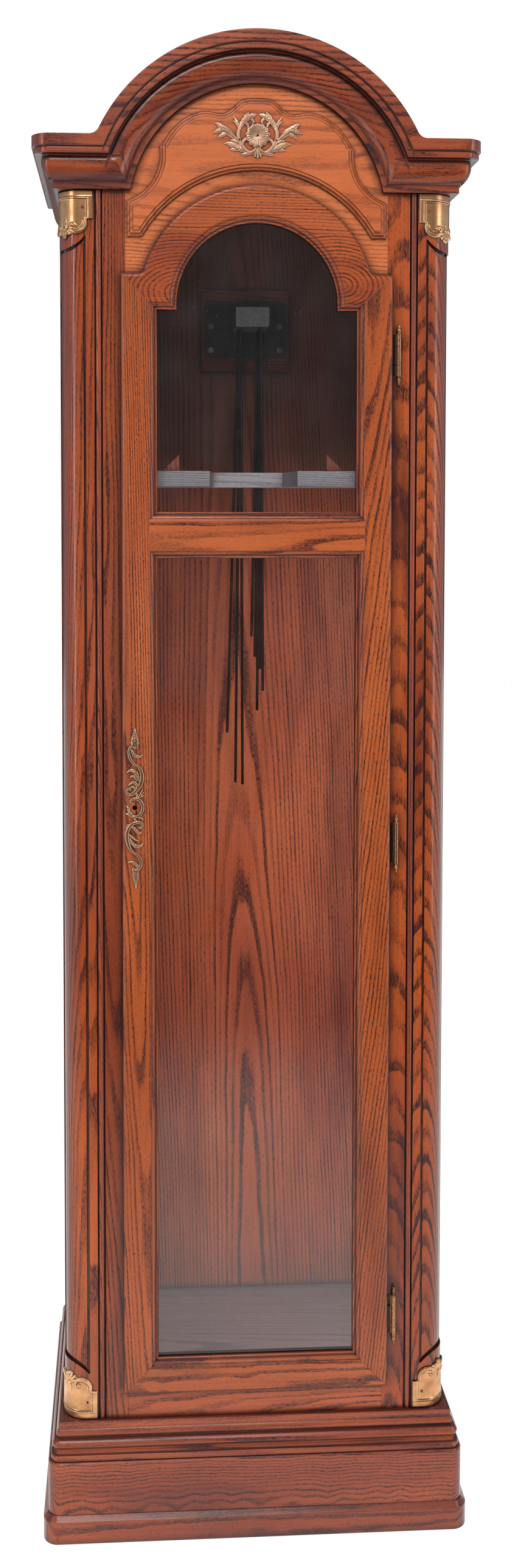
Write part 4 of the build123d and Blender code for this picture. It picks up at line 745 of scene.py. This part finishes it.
# ---------------------------------------------------------------- floor, light and camera
def make_floor():
    """A pale floor, white to the camera. Its glow near the clock's front lights the mouldings from below."""
    half = 9.0
    corners = [(-half, -half, 0), (half, -half, 0), (half, half, 0), (-half, half, 0)]
    data = bpy.data.meshes.new("floor")
    data.from_pydata(corners, [], [(0, 1, 2, 3)])
    floor = bpy.data.objects.new("floor", data)
    bpy.context.scene.collection.objects.link(floor)
    material, g = new_material("pale_floor")
    tone = g.noise(g.node("TexCoord").outputs["Object"], 3.0, detail=3.0)
    colour = g.mix(tone, srgb(236, 236, 236), srgb(243, 243, 243))
    matt = g.node("BsdfDiffuse", {"Color": colour}).outputs[0]
    white = g.node("Emission", {"Color": (1, 1, 1, 1), "Strength": 1.08}).outputs[0]
    seen = g.node("MixShader", {0: 0.92, 1: matt, 2: white}).outputs[0]
    near = g.remap(g.node("SeparateXYZ", {0: g.node("TexCoord").outputs["Object"]}).outputs[1], -2.2, -0.7)
    rays = g.node("LightPath").outputs
    strength = g.math("MULTIPLY", near, g.math("MULTIPLY_ADD", rays["Is Glossy Ray"], 1.1, 0.3))
    glow = g.node("Emission", {"Color": colour, "Strength": strength}).outputs[0]
    finish_material(g, g.node("MixShader", {0: rays["Is Camera Ray"], 1: glow, 2: seen}).outputs[0])
    data.materials.append(material)


def make_world():
    """White behind the object, a soft grey that lights it, and paler sides that show only as reflections."""
    world = bpy.data.worlds.new("studio")
    bpy.context.scene.world = world
    world.use_nodes = True
    world.node_tree.nodes.clear()
    g = Graph(world.node_tree)
    seen = g.node("Background", {0: (1, 1, 1, 1), 1: 1.0}).outputs[0]
    direction = g.node("SeparateXYZ", {0: g.node("TexCoord").outputs["Generated"]}).outputs
    rays = g.node("LightPath").outputs
    glow = g.ramp(g.remap(direction[2], -1, 1), (0.0, 0.08), (0.5, 0.1), (1.0, 0.5))
    sides = g.math("MULTIPLY", g.remap(g.math("ABSOLUTE", direction[0]), 0.6, 0.85), rays["Is Glossy Ray"])
    tint = g.mix(sides, glow, srgb(186, 204, 224))
    lit = g.node("Background", {0: tint, 1: 0.9}).outputs[0]
    g.node("OutputWorld", {0: g.node("MixShader", {0: rays["Is Camera Ray"], 1: lit, 2: seen}).outputs[0]})


def area_light(name, location, target, size, watts, mirrored=True):
    """A soft box; one that is not mirrored lights the clock without showing in its shiny surfaces."""
    data = bpy.data.lights.new(name, "AREA")
    data.shape, data.size, data.size_y = "RECTANGLE", *size
    data.energy = watts
    light = bpy.data.objects.new(name, data)
    bpy.context.scene.collection.objects.link(light)
    light.location = location
    light.rotation_euler = (Vector(location) - Vector(target)).to_track_quat("Z", "Y").to_euler()
    light.visible_glossy = mirrored


def make_lights():
    """A high soft box and a low fill in front, a strip each side, and two weak strips inside the case."""
    area_light("front", (-0.4, -3.4, 4.0), (0, 0, 1.0), (2.0, 0.8), 52)
    area_light("fill", (-0.3, -3.4, 0.8), (0, 0, 0.9), (1.4, 1.2), 34, mirrored=False)
    area_light("left", (-2.3, -1.8, 1.4), (0, 0, 1.1), (0.22, 2.6), 18)
    area_light("right", (2.3, -1.5, 1.4), (0, 0, 1.1), (0.5, 2.6), 15)
    for side, x, watts in (("left", -0.2, 0.2), ("right", 0.2, 1.1)):
        place, target = (x, CASE_FACE + 0.04, 0.8), (x / 2, 0.14, 0.8)
        area_light("inside_" + side, place, target, (0.03, 1.1), watts, mirrored=False)


def make_camera():
    """The viewpoint: eye height at the middle of the case, a little to the left, with its shift."""
    data = bpy.data.cameras.new("camera")
    data.lens = 34.47
    data.sensor_width = 36.0
    data.shift_x, data.shift_y = 0.0248, -0.1296
    data.clip_end = 100
    camera = bpy.data.objects.new("camera", data)
    bpy.context.scene.collection.objects.link(camera)
    yaw, pitch = math.radians(3.335), math.radians(-2.747)
    camera.location = (-0.1711, -2.1632, 1.4064)
    camera.rotation_euler = Euler((math.pi / 2 + pitch, 0, -yaw))
    bpy.context.scene.camera = camera


finish_cad()
cast_ornaments()
make_floor()
make_world()
make_lights()
make_camera()
bpy.context.scene.view_settings.view_transform = "Standard"
